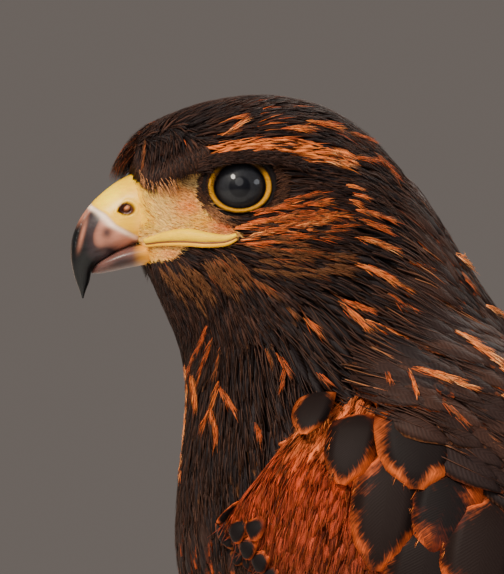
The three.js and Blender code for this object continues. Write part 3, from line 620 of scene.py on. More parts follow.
class Finish:
    # A material, its shader, and short ways to add nodes to it
    def __init__(self, name):
        self.material = bpy.data.materials.new(name)
        self.material.use_nodes = True
        self.nodes = self.material.node_tree.nodes
        self.shader = self.nodes["Principled BSDF"]
        self.place = self.add("TexCoord").outputs["Object"]

    def join(self, value, socket):
        if isinstance(value, bpy.types.NodeSocket):
            self.material.node_tree.links.new(value, socket)
        elif socket.type == "RGBA":
            socket.default_value = (*[float(v) for v in value], 1)
        else:
            socket.default_value = value

    def fill(self, node, values):
        for key, value in values.items():
            self.join(value, node.inputs[key.replace("_", " ")])

    def add(self, kind, **values):
        node = self.nodes.new("ShaderNode" + kind)
        for key in [key for key in values if hasattr(node, key)]:
            setattr(node, key, values.pop(key))
        self.fill(node, values)
        return node

    def shine(self, **values):
        self.fill(self.shader, values)

    def maths(self, operation, *values):
        node = self.add("Math", operation=operation)
        for value, socket in zip(values, node.inputs):
            self.join(value, socket)
        return node.outputs[0]

    def mix(self, factor, first, second, kind="MIX"):
        node = self.add("Mix", data_type="RGBA", blend_type=kind)
        colours = [socket for socket in node.inputs if socket.type == "RGBA"]
        for value, socket in zip((factor, first, second), (node.inputs[0], *colours)):
            self.join(value, socket)
        return next(socket for socket in node.outputs if socket.type == "RGBA")

    def smoothStep(self, value, low, high):
        return self.add("MapRange", interpolation_type="SMOOTHSTEP", Value=value,
                        From_Min=low, From_Max=high).outputs["Result"]

    def noise(self, scale, detail=3.0, roughness=0.55, vector=None):
        vector = self.place if vector is None else vector
        return self.add("TexNoise", Vector=vector, Scale=scale, Detail=detail,
                        Roughness=roughness).outputs["Fac"]

    def colour(self, colour, shade=None):
        # The base colour, darker or lighter by a grey value
        if shade is not None:
            grey = self.add("CombineColor", Red=shade, Green=shade, Blue=shade).outputs[0]
            colour = self.mix(1.0, colour, grey, "MULTIPLY")
        self.shine(Base_Color=colour)

    def bump(self, height, strength, distance):
        self.shine(Normal=self.add("Bump", Height=height, Strength=strength,
                                   Distance=distance).outputs["Normal"])

    def attribute(self, name):
        return self.add("Attribute", attribute_name=name).outputs

    def map(self, name):
        # u and v of one of the piece's own maps
        uv = self.add("UVMap", uv_map=name).outputs["UV"]
        return self.add("SeparateXYZ", Vector=uv).outputs[:2]

    def blade(self):
        # How far out from the shaft, how far along the blade, and its two colours
        u, v = self.map("blade")
        edge = self.maths("ABSOLUTE", self.maths("MULTIPLY_ADD", u, 2.0, -1.0))
        return edge, v, self.attribute("tone")["Color"], self.attribute("rim")

    def barbs(self, edge, v, count, slant, scale=0.0, wander=0.0):
        # Where in the row of barbs a place is, and how high the barb stands there
        phase = self.maths("MULTIPLY_ADD", v, count, self.maths("MULTIPLY", edge, -slant))
        bent = self.maths("MULTIPLY_ADD", self.noise(scale, 2.0), wander, phase) if scale else phase
        return phase, self.maths("MULTIPLY_ADD", self.maths("SINE", bent), 0.5, 0.5)


def plumageMaterial(name, barbs, slant, rimFrom, rimTip, gloss=0.62, shaft=0.0):
    finish = Finish(name)
    maths, noise, smoothStep = finish.maths, finish.noise, finish.smoothStep
    edge, v, tone, rim = finish.blade()
    ragged = maths("MULTIPLY_ADD", noise(900.0, 2.0), 0.22, -0.11)
    side = smoothStep(maths("ADD", edge, ragged), rimFrom, min(rimFrom + 0.22, 1.0))
    end = smoothStep(maths("ADD", v, ragged), rimTip, min(rimTip + 0.12, 1.0))
    mask = maths("MULTIPLY", maths("MAXIMUM", side, end), rim["Alpha"])
    depth = finish.barbs(edge, v, barbs, slant, 260.0, 7.0)[1]
    shade = maths("MULTIPLY", maths("MULTIPLY_ADD", depth, 0.34, 0.78),
                  maths("MULTIPLY_ADD", noise(120.0, 4.0), 0.9, 0.55))
    if shaft:
        quill = maths("SUBTRACT", 1.0, smoothStep(edge, 0.015, 0.05))
        shade = maths("MULTIPLY_ADD", quill, shaft, shade)
    finish.colour(finish.mix(mask, tone, rim["Color"]), shade)
    finish.bump(depth, 0.25, 0.0002)
    finish.shine(Roughness=gloss, Specular_IOR_Level=0.08)
    return finish.material


def strandMaterial(name):
    finish = Finish(name)
    _, v, tone, rim = finish.blade()
    tip = finish.maths("MULTIPLY", finish.smoothStep(v, 0.35, 1.0), rim["Alpha"])
    finish.colour(finish.mix(tip, tone, rim["Color"]))
    finish.bump(finish.noise(2500.0), 0.2, 0.0001)
    finish.shine(Roughness=0.5, Specular_IOR_Level=0.1)
    return finish.material


softVane = plumageMaterial("softVane", barbs=90.0, slant=16.0, rimFrom=0.62, rimTip=0.86)
cloakVane = plumageMaterial("cloakVane", barbs=110.0, slant=18.0, rimFrom=0.8, rimTip=0.93)
coverVane = plumageMaterial("coverVane", barbs=150.0, slant=22.0, rimFrom=0.7, rimTip=0.88, shaft=0.25)
flightVane = plumageMaterial("flightVane", barbs=520.0, slant=60.0, rimFrom=0.93, rimTip=0.985,
                             gloss=0.45, shaft=0.6)
fineStrand = strandMaterial("fineStrand")

# The eye's values, and the skin that the feathers grow from

eye = {
    "radius": 8.6,
    "depth": 13.3,
    "forward": 12.0,
    "pupil": 2.6,
    "pupilColour": (0.0006, 0.0009, 0.003),
    "irisColour": (0.0105, 0.011, 0.0135),
    "edgeColour": (0.004, 0.004, 0.006),
    # radius and height over the eye's middle, once round the lid's section
    "lid": [(6.35, 6.0), (6.5, 6.6), (6.9, 7.1), (7.4, 7.4), (7.85, 7.25), (8.1, 6.9), (8.6, 7.2), (9.2, 7.1),
            (9.9, 6.5), (10.5, 5.3), (9.0, 4.4), (7.2, 4.6)],
    "ringColour": (0.40, 0.175, 0.006),
    "rimColour": (0.006, 0.004, 0.004),
}


def fromBmesh(name, bm, material):
    mesh = bpy.data.meshes.new(name)
    bm.to_mesh(mesh)
    bm.free()
    mesh.polygons.foreach_set("use_smooth", np.ones(len(mesh.polygons), bool))
    mesh.materials.append(material)
    return addObject(name, mesh)


def sphereGrid(around, rings):
    # A round starting shape whose poles become the two ends, with share and turn at each of its points
    bm = bmesh.new()
    bmesh.ops.create_uvsphere(bm, u_segments=around, v_segments=rings, radius=1.0)
    spots = np.array([v.co for v in bm.verts])
    share = np.arccos(np.clip(spots[:, 2], -1, 1)) / math.pi
    turn = np.degrees(np.arctan2(spots[:, 1], spots[:, 0])) % 360
    return bm, share, turn


def setPoints(bm, points):
    for vert, point in zip(bm.verts, metres(points)):
        vert.co = point


def mapGrid(bm, share, turn, corners=((0.02, 0.02), (0.98, 0.98))):
    # A flat map from share and turn, with the seam kept straight
    layer = bm.loops.layers.uv.new("OFBake")
    (left, low), (right, high) = corners
    for facet in bm.faces:
        turns = [turn[loop.vert.index] for loop in facet.loops]
        wrap = max(turns) - min(turns) > 180
        for loop, angle in zip(facet.loops, turns):
            angle = angle + 360 if wrap and angle < 180 else angle
            u = left + (right - left) * share[loop.vert.index]
            loop[layer].uv = (u, low + (high - low) * angle / 390)


def bodyPace(ring):
    head = 7 / lastRow
    return np.where(ring < 0.5, ring / 0.5 * head, head + (ring - 0.5) / 0.5 * (1 - head))


def coatDepth(share):
    return np.interp(share, [0, 0.05, 0.15, 0.33, 0.45, 0.6, 1.0], [0.3, 0.9, 1.3, 2.2, 3.5, 4.5, 4.0])


face = {
    # the bare skin before the eye, x and z round its edge as seen from the left
    "lores": [(-27.5, 1.6), (-26.1, 1.8), (-24.6, 0.9), (-22, -0.2), (-19.5, 1.3), (-17, 2.35), (-14, 3.25),
              (-11, 4.6), (-8.3, 3), (-8.6, -2.25), (-6.4, -6.3), (-2.9, -9.9), (-0.5, -12.0), (-0.3, -13.6),
              (-4, -14.5), (-14, -15.0), (-17, -18.3), (-24.5, -19.4), (-30, -18.5), (-30, 0)],
    "cream": (1.0, 0.56, 0.14),
    "orange": (0.85, 0.16, 0.006),
    "gold": (0.98, 0.44, 0.015),
    "pink": (0.85, 0.19, 0.055),
    "yellow": (0.86, 0.48, 0.01),
    # the olive brown of the painted shadow in the corner before the eye
    "eyeCornerShade": (0.11, 0.065, 0.03),
    "lidSkin": (0.016, 0.010, 0.009),
    # blotches on it: colour, then x, z, width, height, tilt and strength of each
    "blotches": [
        ("orange", [(-13.6, -4.6, 3.6, 3.4, 0, 0.85), (-16.0, 0.3, 4.0, 1.8, 0, 0.65)]),
        ("gold", [(-10.8, -9, 4.0, 2.3, 0, 1.0)]),
        ("pink", [(-4.6, -9.6, 3.6, 2.6, 0, 1.2), (-18, -17, 3.5, 1.6, 0, 0.6)]),
        ("gold", [(-23, -17, 1.9, 1.9, 0, 1.0)]),
    ],
}


def eyeGap(x, z):
    # How far out from the middle of the eye, 1 at the outer edge of its dark rim
    return np.hypot((x + 0.1) / 8.8, (z + 0.3) / 7.3)


def insideOf(outline, x, z):
    inside = np.zeros(np.shape(x), bool)
    outline = np.asarray(outline, float)
    for (x1, z1), (x2, z2) in zip(outline, np.roll(outline, -1, 0)):
        crosses = (z1 > z) != (z2 > z)
        reach = x1 + (z - z1) * (x2 - x1) / (z2 - z1 + 1e-12)
        inside ^= crosses & (x < reach)
    return inside


def loreColour(x, z):
    bare = np.tile(face["cream"], (len(x), 1))
    for name, places in face["blotches"]:
        bare = blend(bare, face[name], smudge(x, z, places))
    edge = 0.9 * (1 - ease(x + 0.25 * (z + 5), -24.5, -20.5)) * ease(z, -13, -9)
    # painted shadow: olive brown smudges in the corner before the eye
    eyeCornerShade = smudge(x, z, [(-13.5, 1.4, 3.4, 2.4, 0, 0.9), (-8.8, 1.6, 2.4, 4.2, 0, 1.2)])
    return blend(blend(bare, face["yellow"], edge), face["eyeCornerShade"], eyeCornerShade)


def skinColour(x, z, lateral):
    rusty = 0.6 * np.maximum(rustShare(x, z), strokeField(x, z))
    colour = blend(plumage["charcoal"], plumage["umber"], np.clip(rusty, 0, 1))
    near = insideOf(face["lores"], x, z) & (lateral > 3)
    colour = np.where(near[..., None], loreColour(x, z), colour)
    return blend(colour, face["lidSkin"], (1 - ease(eyeGap(x, z), 1.0, 1.12)) * (x > -30))


def skinMaterial():
    finish = Finish("bareSkin")
    shade = finish.maths("MULTIPLY_ADD", finish.noise(1500.0), 0.5, 0.75)
    finish.colour(finish.attribute("tone")["Color"], shade)
    cells = finish.add("TexVoronoi", Vector=finish.place, Scale=1300.0).outputs["Distance"]
    finish.bump(cells, 0.5, 0.0003)
    finish.shine(Roughness=0.55, Specular_IOR_Level=0.15, Subsurface_Weight=0.12, Subsurface_Scale=0.002)
    return finish.material


bareSkin = skinMaterial()


def addTones(piece, colours):
    layer = piece.data.attributes.new("tone", "FLOAT_COLOR", "POINT")
    layer.data.foreach_set("color", withStrength(colours, 1.0, len(colours)).astype(np.float32).ravel())


def thighGrid(side, grow):
    bm, share, turn = sphereGrid(32, 26)
    setPoints(bm, thighPlace(side)(share, turn, grow * np.ones_like(share)))
    left = 0.7 if side < 0 else 0.86
    mapGrid(bm, share, turn, ((left, 0.02), (left + 0.13, 0.45)))
    return bm


def carveSocket(plain):
    # The skin dips round the eye, so that the lids lie in it
    side = np.where(plain[:, 1] > 0, 1.0, -1.0)
    angle = math.radians(eye["forward"])
    axis = np.stack([0 * side - math.sin(angle), side * math.cos(angle), 0 * side], 1)
    gap = plain - np.stack([0 * side - eyeAhead, side * eye["depth"], 0 * side], 1)
    high = np.sum(gap * axis, 1)
    flat = gap - axis * high[:, None]
    far = np.hypot(np.hypot(flat[:, 0], flat[:, 1]), flat[:, 2] / np.where(flat[:, 2] > 0, 0.93, 0.84))
    cap = np.interp(far, [8.8, 10.8, 12.2], [3.4, 5.4, 30])
    deep = np.where((far < 12.2) & (high > 0), np.maximum(0, high - cap), 0)
    return plain - axis * deep[:, None]


def makeSkin():
    bm, ring, turn = sphereGrid(128, 180)
    share = bodyPace(ring)
    plain = carveSocket(plainBody(share, turn, -coatDepth(share)))
    points = turnHead(plain, headWeight(share))
    ends = (ring < 1e-4) | (ring > 1 - 1e-4)
    points[ends, 1] = turnHead(plain)[ends, 1] * (ring[ends] < 0.5)
    setPoints(bm, points)
    mapGrid(bm, share, turn, ((0.02, 0.02), (0.66, 0.98)))
    skin = fromBmesh("skin", bm, bareSkin)
    for side in (-1, 1):
        part = fromBmesh("thighForm", thighGrid(side, -3.0), bareSkin)
        joint = skin.modifiers.new("join", "BOOLEAN")
        joint.operation = "UNION"
        joint.solver = "EXACT"
        joint.object = part
        bpy.context.view_layer.update()
        joined = bpy.data.meshes.new_from_object(skin.evaluated_get(bpy.context.evaluated_depsgraph_get()))
        skin.modifiers.clear()
        skin.data = joined
        bpy.data.objects.remove(part)
    joined.name = "skin"
    spots = np.empty(len(joined.vertices) * 3, np.float32)
    joined.vertices.foreach_get("co", spots)
    spots = spots.reshape(-1, 3) * 1000 - origin
    turned = ease(spots[:, 2], -60, -30)  # the head's points are turned back before they are coloured
    plainSpots = turnHead(spots, -turned)
    seen = seenFrom(plainSpots, turned)
    colours = skinColour(seen[:, 0], seen[:, 2], np.abs(plainSpots[:, 1]))
    rufous = (spots[:, 2] < -165) & (np.abs(spots[:, 1]) > 9) & (spots[:, 0] < 135)
    colours[rufous] = plumage["chestnut"] * 0.6
    addTones(skin, colours)
    announce(skin, "plumage", "head", "neck", "torso", "thigh_left", "thigh_right")
    print("skin", len(joined.polygons))


makeSkin()


# The coat of the head and neck


def bodyMap(spanA):
    def unwrap(a, b):
        u = 0.02 + 0.96 * (a - spanA[0]) / (spanA[1] - spanA[0])
        return np.stack([np.clip(u, 0.01, 0.99), 0.02 + 0.96 * (b / 360)], -1)

    return unwrap


headCoat = {
    "span": (0.012, 0.36),
    "row": between([0, 0.1, 0.2, 0.36], [1.1, 1.5, 1.9, 2.6]),
    "column": between([0, 0.1, 0.2, 0.36], [0.75, 0.9, 1.05, 1.3]),
    "length": between([0, 0.06, 0.15, 0.25, 0.36], [3.0, 4.6, 6.4, 8.0, 10.5]),
    "width": between([0, 0.06, 0.15, 0.25, 0.36], [0.8, 1.0, 1.2, 1.5, 2.0]),
    "strandRow": lambda a: 0.95 + 1.2 * a,
    "strandColumn": lambda a: 0.42 + 0.6 * a,
    "strandWidth": lambda a: 0.20 + 0.4 * a,
}
headMap, wholeMap = bodyMap(headCoat["span"]), bodyMap((0.0, 1.0))


def hairs(name, place, hand, roots, sizes, looks, unwrap, thin=0.04):
    # Fine single strands
    style = {"shape": [0.8, 1.0, thin], "section": strand, "camber": 0.3}
    looks = (np.clip(looks[0], 0, 1), *looks[1:])
    coatPiece(name, place, hand, roots, sizes, looks, style, fineStrand, unwrap)


def faceHairs(name, roots, sizes, looks, thin=0.04):
    hairs(name, bodyPlace, 1, roots, sizes, looks, headMap, thin)


def yawAlong(a, b, spread):
    # Blades follow the lie of the plumage, and run straight back along the middle
    yaw = yawTowards(bodyPlace, 1, a, b, *wayAt(*bodySeen(a, b)[:2]))
    return yaw * ease(np.abs(np.sin(np.radians(b))), 0.12, 0.45) + rng.normal(0, spread, len(a))


def keepOffFace(a, b, yaw, length):
    # No blade starts on the bare face, the bill or the eye, or reaches far over them
    step = stepsFor(bodyPlace, 1, a, b, length, yaw)
    bad = np.zeros(len(a), bool)
    for share in (0.0, 0.45, 0.8):
        x, z, lateral = bodySeen(np.clip(a + share * step[0], 0.001, 1), b + share * step[1])
        bad |= insideOf(face["lores"], x, z) & (lateral > 3)
        bad |= (eyeGap(x, z) < (1.03 if share == 0 else 0.98)) & (lateral > 10)
        bad |= (x < -26.5) & (z < 3.5) & (z > -22)
    return ~bad


streaks = {"head": makeStreaks(90, 170), "neck": makeStreaks(60, 90), "fine": makeStreaks(300, 420)}


def coatTones(a, b, length, yaw, spread, quiet=0.0):
    # Colours from the middle of each blade, and how warm each is
    step = stepsFor(bodyPlace, 1, a, b, 0.5 * length, yaw)
    x, z = bodySeen(a + step[0], b + step[1])[:2]
    rusty = rustShare(x, z) * (1 - quiet)
    pattern = 0.6 * streaks["head"](a, b) + 0.4 * streaks["fine"](a, b) + rng.normal(0, spread, len(a))
    warm = ease(pattern, 0.93 - 0.72 * rusty, 1.08 - 0.72 * rusty)
    bright = strokeField(x, z)
    glow = ease(bright + rng.normal(0, 0.2, len(a)), 0.5, 1.1)
    warm = np.maximum(warm, glow * (0.55 if spread > 0.06 else 0.15))
    cool = blend(plumage["charcoal"], plumage["umber"], ease(rng.random(len(a)), 0.2, 1.3))
    cool = cool * rng.uniform(0.75, 1.2, (len(a), 1))
    heat = np.clip(0.55 * np.maximum(rusty, bright) + rng.normal(0.1, 0.22, len(a)), 0, 1)
    hot = blend(plumage["rust"], plumage["flame"], heat)
    brown = blend(plumage["umber"], plumage["tan"], rng.random(len(a)))
    dull = np.maximum(ease(-z, 14, 24) * (1 - ease(x, 8, 24)), 0.55 * spot(x, z, 6, -6, 9, 9))
    hot = blend(hot, brown, 0.85 * dull * (1 - ease(bright, 0.35, 0.7)))
    return blend(cool, hot, warm), warm


def makeHeadCoat():
    def lay(rowStep, columnStep, jitter, lengths, spread):
        a, b = scatter(bodyPlace, headCoat["span"], (0, 360), rowStep, columnStep, jitter)
        length = headCoat["length"](a) * rng.uniform(*lengths, len(a))
        yaw = yawAlong(a, b, spread)
        keep = keepOffFace(a, b, yaw, length)
        return a[keep], b[keep], length[keep], yaw[keep], coatDepth(a[keep])

    def halves(sideName):
        return b <= 180 if sideName == "Left" else b > 180

    a, b, length, yaw, depth = lay(headCoat["row"], headCoat["column"], 0.35, (0.85, 1.15), 0.07)
    tone, warm = coatTones(a, b, length, yaw, 0.05)
    heights = rows(-depth, -0.45 * depth, 0.0, 0.1) + rng.uniform(-0.12, 0.12, (len(a), 1))
    strength = 0.35 * rng.random(len(a)) * (0.15 + warm)
    width = headCoat["width"](a)
    style = {"shape": [0.5, 0.95, 0.8, 0.12], "section": lens, "camber": 0.14}
    for _, sideName in sides:
        part = halves(sideName)
        sizes = [values[part] for values in (length, width, yaw, heights)]
        coatPiece(f"headFeathers{sideName}", bodyPlace, 1, (a[part], b[part]), sizes,
                  (tone[part], plumage["rust"], strength[part]), style, softVane, headMap)
    a, b, length, yaw, depth = lay(headCoat["strandRow"], headCoat["strandColumn"], 0.5, (0.7, 1.2), 0.12)
    tone, warm = coatTones(a, b, length, yaw, 0.08)
    heights = rows(-0.5 * depth, 0.15, 0.3 + rng.uniform(-0.15, 0.35, len(a)))
    strength = 0.35 * rng.random(len(a)) * (0.2 + warm)
    width = headCoat["strandWidth"](a)
    for _, sideName in sides:
        part = halves(sideName)
        sizes = [values[part] for values in (length, width, yaw, heights)]
        faceHairs(f"headBarbs{sideName}", (a[part], b[part]), sizes,
                  (tone[part], plumage["tan"], strength[part]))
        print("head barbs", sideName, part.sum())


makeHeadCoat()

neckCoat = {
    "span": (0.30, 0.60),
    "row": between([0.3, 0.45, 0.6], [3.0, 4.6, 6.0]),
    "column": between([0.3, 0.45, 0.6], [2.0, 3.6, 5.4]),
    "length": between([0.3, 0.45, 0.6], [11.0, 15.0, 20.0]),
    "width": between([0.3, 0.45, 0.6], [2.6, 4.6, 8.0]),
    "strandRow": 2.0,
    "strandColumn": lambda a: 0.7 + 0.9 * a,
}


def makeNeckCoat():
    def lay(rowStep, columnStep, jitter, lengths, spread, colourSpread):
        a, b = scatter(bodyPlace, neckCoat["span"], (0, 360), rowStep, columnStep, jitter)
        length = neckCoat["length"](a) * rng.uniform(*lengths, len(a))
        yaw = yawAlong(a, b, spread)
        return (a, b), length, yaw, coatDepth(a), *coatTones(a, b, length, yaw, colourSpread, 0.7)

    unwrap = bodyMap(neckCoat["span"])
    roots, length, yaw, depth, tone, warm = lay(neckCoat["row"], neckCoat["column"], 0.35,
                                                (0.85, 1.15), 0.1, 0.04)
    n = len(length)
    tone = blend(plumage["charcoal"] * rng.uniform(0.7, 1.3, (n, 1)), tone, 0.35 * warm)
    heights = rows(-depth, -0.5 * depth, -0.15 * depth, 0.1) + rng.uniform(-0.2, 0.2, (n, 1))
    strength = np.where(rng.random(n) < 0.12, rng.uniform(0.3, 0.8, n), 0.08)
    style = {"shape": [0.45, 0.85, 1.0, 0.75, 0.12], "section": lens, "camber": 0.12}
    coatPiece("neckFeathers", bodyPlace, 1, roots, (length, neckCoat["width"](roots[0]), yaw, heights),
              (tone, plumage["tan"], strength), style, softVane, unwrap)
    roots, length, yaw, depth, tone, warm = lay(neckCoat["strandRow"], neckCoat["strandColumn"], 0.5,
                                                (0.45, 0.8), 0.12, 0.05)
    n = len(length)
    heights = rows(-0.4 * depth, 0.2, 0.35 + rng.uniform(-0.2, 0.5, n))
    hairs("neckBarbs", bodyPlace, 1, roots, (length, 0.3 + 0.25 * roots[0], yaw, heights),
          (tone, plumage["tan"], 0.2 * rng.random(n)), unwrap)
    print("neck coat", n)


makeNeckCoat()

# Places found from where they are seen, the streaks that stand out and the tufts of the forehead


def makeFinder(place, spanA, spanB):
    gridA, gridB = gridOver(spanA, spanB, 400, 300)
    tree = KDTree(len(gridA))
    for i, (x, _, z) in enumerate(place(gridA, gridB, 0 * gridA)):
        tree.insert((x, 0.0, z), i)
    tree.balance()

    def find(seenX, seenZ, side):
        found = np.array([tree.find((p, 0.0, q))[1] for p, q in zip(seenX, seenZ)])
        a = gridA[found] + rng.uniform(-0.0007, 0.0007, len(found))
        turn = gridB[found] + rng.uniform(-0.3, 0.3, len(found))
        return a, turn if side < 0 else -turn % 360

    return find


findBody = makeFinder(bodyPlace, (0.004, 0.62), (1, 179))


def makeStrokes(side, sideName, place, find, part, name, lift=0.0):
    # rusty strands along the streaks, with the painted rim light along the neck's front edge among them
    drawn = []
    for x0, z0, x1, z1, half, glow in part:
        if side > 0 and x0 < -10 and z0 < -30:  # those down the middle of the breast aren't doubled
            continue
        run = math.hypot(x1 - x0, z1 - z0)
        n = int(3 + run * (1.5 + 8 * half))
        t = rng.uniform(-0.06, 0.8, n)
        off = rng.normal(0, 0.36, n) * half * (0.3 + 0.7 * np.sin(np.pi * np.clip(t, 0.02, 1) ** 0.7))
        off = off + 0.05 * run * np.sin(np.pi * t)
        wayX, wayZ = (x1 - x0) / run, (z1 - z0) / run
        lean = rng.normal(0, 0.11, n)
        bright = glow * rng.choice([0.3, 0.75, 1.0, 1.2], n, p=[0.25, 0.3, 0.3, 0.15])
        drawn.append((x0 + (x1 - x0) * t - wayZ * off, z0 + (z1 - z0) * t + wayX * off,
                      wayX - wayZ * lean, wayZ + wayX * lean, bright))
    x, z, dx, dz, bright = (np.concatenate(values) for values in zip(*drawn))
    a, b = find(x, z, side)
    yaw = yawTowards(place, 1, a, b, dx, dz)
    n = len(a)
    tone = blend(plumage["tan"] * 0.5, plumage["rust"], ease(bright, 0.3, 0.75))
    tone = blend(tone, plumage["flame"], ease(bright, 0.7, 1.15))
    tone = blend(tone, (0.97, 0.48, 0.20), ease(bright, 1.15, 1.4)) * rng.uniform(0.7, 1.1, (n, 1))
    heights = lift + rows(0.0, 0.6, 0.7 + rng.uniform(-0.1, 0.35, n))
    sizes = (rng.uniform(2.2, 5.2, n), rng.uniform(0.12, 0.26, n), yaw, heights)
    hairs(f"{name}{sideName}", place, 1, (a, b), sizes,
          (tone, plumage["flame"], 0.3 * ease(bright, 0.6, 1.0)), wholeMap)
    print(name, n)


def forelockPlace(a, b, h):
    # A sheet that swings from the crown over the root of the cere: a down it, b across in millimetres
    (x0, z0), (x1, z1), (x2, z2) = (-17.0, 17.2), (-28.5, 15.0), (-32.4, 2.2)
    x = (1 - a) ** 2 * x0 + 2 * a * (1 - a) * x1 + a ** 2 * x2 + b ** 2 / 55
    z = (1 - a) ** 2 * z0 + 2 * a * (1 - a) * z1 + a ** 2 * z2 - b ** 2 / 40
    dx, dz = (1 - a) * (x1 - x0) + a * (x2 - x1), (1 - a) * (z1 - z0) + a * (z2 - z1)
    size = np.hypot(dx, dz)
    return turnHead(np.stack([x + h * dz / size, b + 0 * a, z - h * dx / size], -1))


forelockPlace.step = 0.01


def makeForelock(side, sideName):
    # The forehead's tufts bulge forward over the root of the cere
    if side > 0:  # they are ruffled on the right, where they show beyond the forehead
        n = 2000
        a, b = rng.uniform(0, 0.78, n) ** 1.2, rng.uniform(-2.0, 10.0, n)
        level = rng.uniform(-2.2, 0.6, n)
        heights = rows(level - 0.4, level + 0.3, level + rng.uniform(0, 0.9, n))
        tone = blend(plumage["charcoal"] * 0.9, plumage["umber"], rng.random(n) ** 2)
        tone = blend(tone, blend(plumage["tan"], plumage["rust"], rng.random(n)), 0.7 * (rng.random(n) < 0.2))
        sizes = (rng.uniform(3.5, 7.0, n), rng.uniform(0.16, 0.34, n), rng.normal(0, 0.12, n), heights)
        hairs("forelock", forelockPlace, -1, (a, b), sizes, (tone, plumage["tan"], 0.2 * rng.random(n)),
              lambda s, t: np.stack([0.1 + 0.1 * s, 0.3 + 0.02 * t], -1))
    n = 1500
    x = rng.uniform(-26, -9, n)
    edge = np.interp(x, [-26, -24.6, -22, -19.5, -17, -14, -10.5], [3.8, 1.8, 0.6, 1.9, 3.0, 4.0, 5.4])
    z = edge + rng.uniform(0.6, 5.5, n)
    a, b = findBody(x, z, side)
    yaw = yawTowards(bodyPlace, 1, a, b, mix(-0.3, 0.55, ease(x, -24, -12)), -0.95) + rng.normal(0, 0.16, n)
    length = np.minimum(z - edge + rng.uniform(0.2, 1.6, n) + 1.8 * rng.random(n) ** 3, 7.0)
    heights = rows(-0.4, 0.5 + 0.3 * rng.random(n), 0.5 + 0.5 * rng.random(n))
    tone = blend(plumage["charcoal"] * 0.9, plumage["umber"], rng.random(n) ** 1.5)
    faceHairs(f"foreheadHairs{sideName}", (a, b), (length, 0.27, yaw, heights),
              (tone, plumage["tan"], 0.3 * (rng.random(n) < 0.12)))
    n = 120
    x = rng.uniform(-25.6, -17.0, n)
    z = np.interp(x, [-26, -24.6, -22, -19.5], [5.2, 3.6, 1.8, 2.6]) + rng.uniform(-1.6, 0.6, n)
    a, b = findBody(x, z, side)
    yaw = yawTowards(bodyPlace, 1, a, b, mix(0.25, 0.6, ease(x, -25, -19)), -0.95) + rng.normal(0, 0.12, n)
    heights = rows(0.2, 0.9 + 0.3 * rng.random(n), 0.6 + 0.6 * rng.random(n))
    tone = blend((0.70, 0.30, 0.12), plumage["charcoal"], ease(rng.random(n), 0.2, 0.7))
    faceHairs(f"paleHairs{sideName}", (a, b), (rng.uniform(2.5, 5.0, n), 0.12, yaw, heights),
              (tone, plumage["tan"], 0.4 * rng.random(n)))


bodyCoat = {
    "span": (0.5, 0.995),
    "row": between([0.5, 0.7, 1.0], [6.0, 8.0, 6.0]),
    "column": between([0.5, 0.7, 1.0], [5.0, 6.6, 5.0]),
    "length": between([0.5, 0.7, 1.0], [20.0, 26.0, 20.0]),
    "width": between([0.5, 0.7, 1.0], [8.5, 12.0, 9.0]),
    "strandRow": 5.0,
    "strandColumn": 2.8,
}


def trunkTones(a, b):
    # Dark above and on the breast, white under the tail and on the rump
    vent = ease(a, 0.90, 0.95) * ease(np.abs(b - 180), 110, 60)
    rump = ease(a, 0.93, 0.97) * (1 - ease(np.abs(np.minimum(b, 360 - b)), 40, 80))
    pale = np.clip(vent + rump, 0, 1)
    cool = blend(plumage["charcoal"], plumage["umber"], 0.35 * rng.random(len(a)))
    return blend(cool, plumage["white"], pale), pale


def makeBodyCoat():
    unwrap = bodyMap(bodyCoat["span"])
    a, b = scatter(bodyPlace, bodyCoat["span"], (0, 360), bodyCoat["row"], bodyCoat["column"])
    n = len(a)
    depth = coatDepth(a)
    tone, pale = trunkTones(a, b)
    length = bodyCoat["length"](a) * rng.uniform(0.85, 1.15, n) * (1 - 0.75 * ease(a, 0.9, 1.0))
    heights = rows(-depth, -0.55 * depth, -0.2 * depth, 0.0) + rng.uniform(-0.25, 0.25, (n, 1))
    strength = np.where(rng.random(n) < 0.6, rng.uniform(0.3, 0.9, n), 0.1) * (1 - pale)
    style = {"shape": [0.4, 0.8, 1.0, 0.95, 0.6, 0.16], "section": vane, "camber": 0.10, "patch": 0.012}
    coatPiece("bodyFeathers", bodyPlace, 1, (a, b),
              (length, bodyCoat["width"](a), rng.normal(0, 0.1, n), heights),
              (tone, plumage["rust"], strength), style, softVane, unwrap)
    a, b = scatter(bodyPlace, bodyCoat["span"], (0, 360), bodyCoat["strandRow"],
                   bodyCoat["strandColumn"], 0.5)
    n = len(a)
    tone, pale = trunkTones(a, b)
    length = 12.0 * rng.uniform(0.6, 1.1, n) * (1 - 0.6 * ease(a, 0.9, 1.0))
    heights = rows(-0.5 * coatDepth(a), 0.0, 0.2 + rng.uniform(-0.2, 0.4, n))
    hairs("bodyBarbs", bodyPlace, 1, (a, b), (length, 0.6, rng.normal(0, 0.2, n), heights),
          (tone, plumage["tan"], 0.25 * rng.random(n)), unwrap)
    print("body coat", n)


makeBodyCoat()


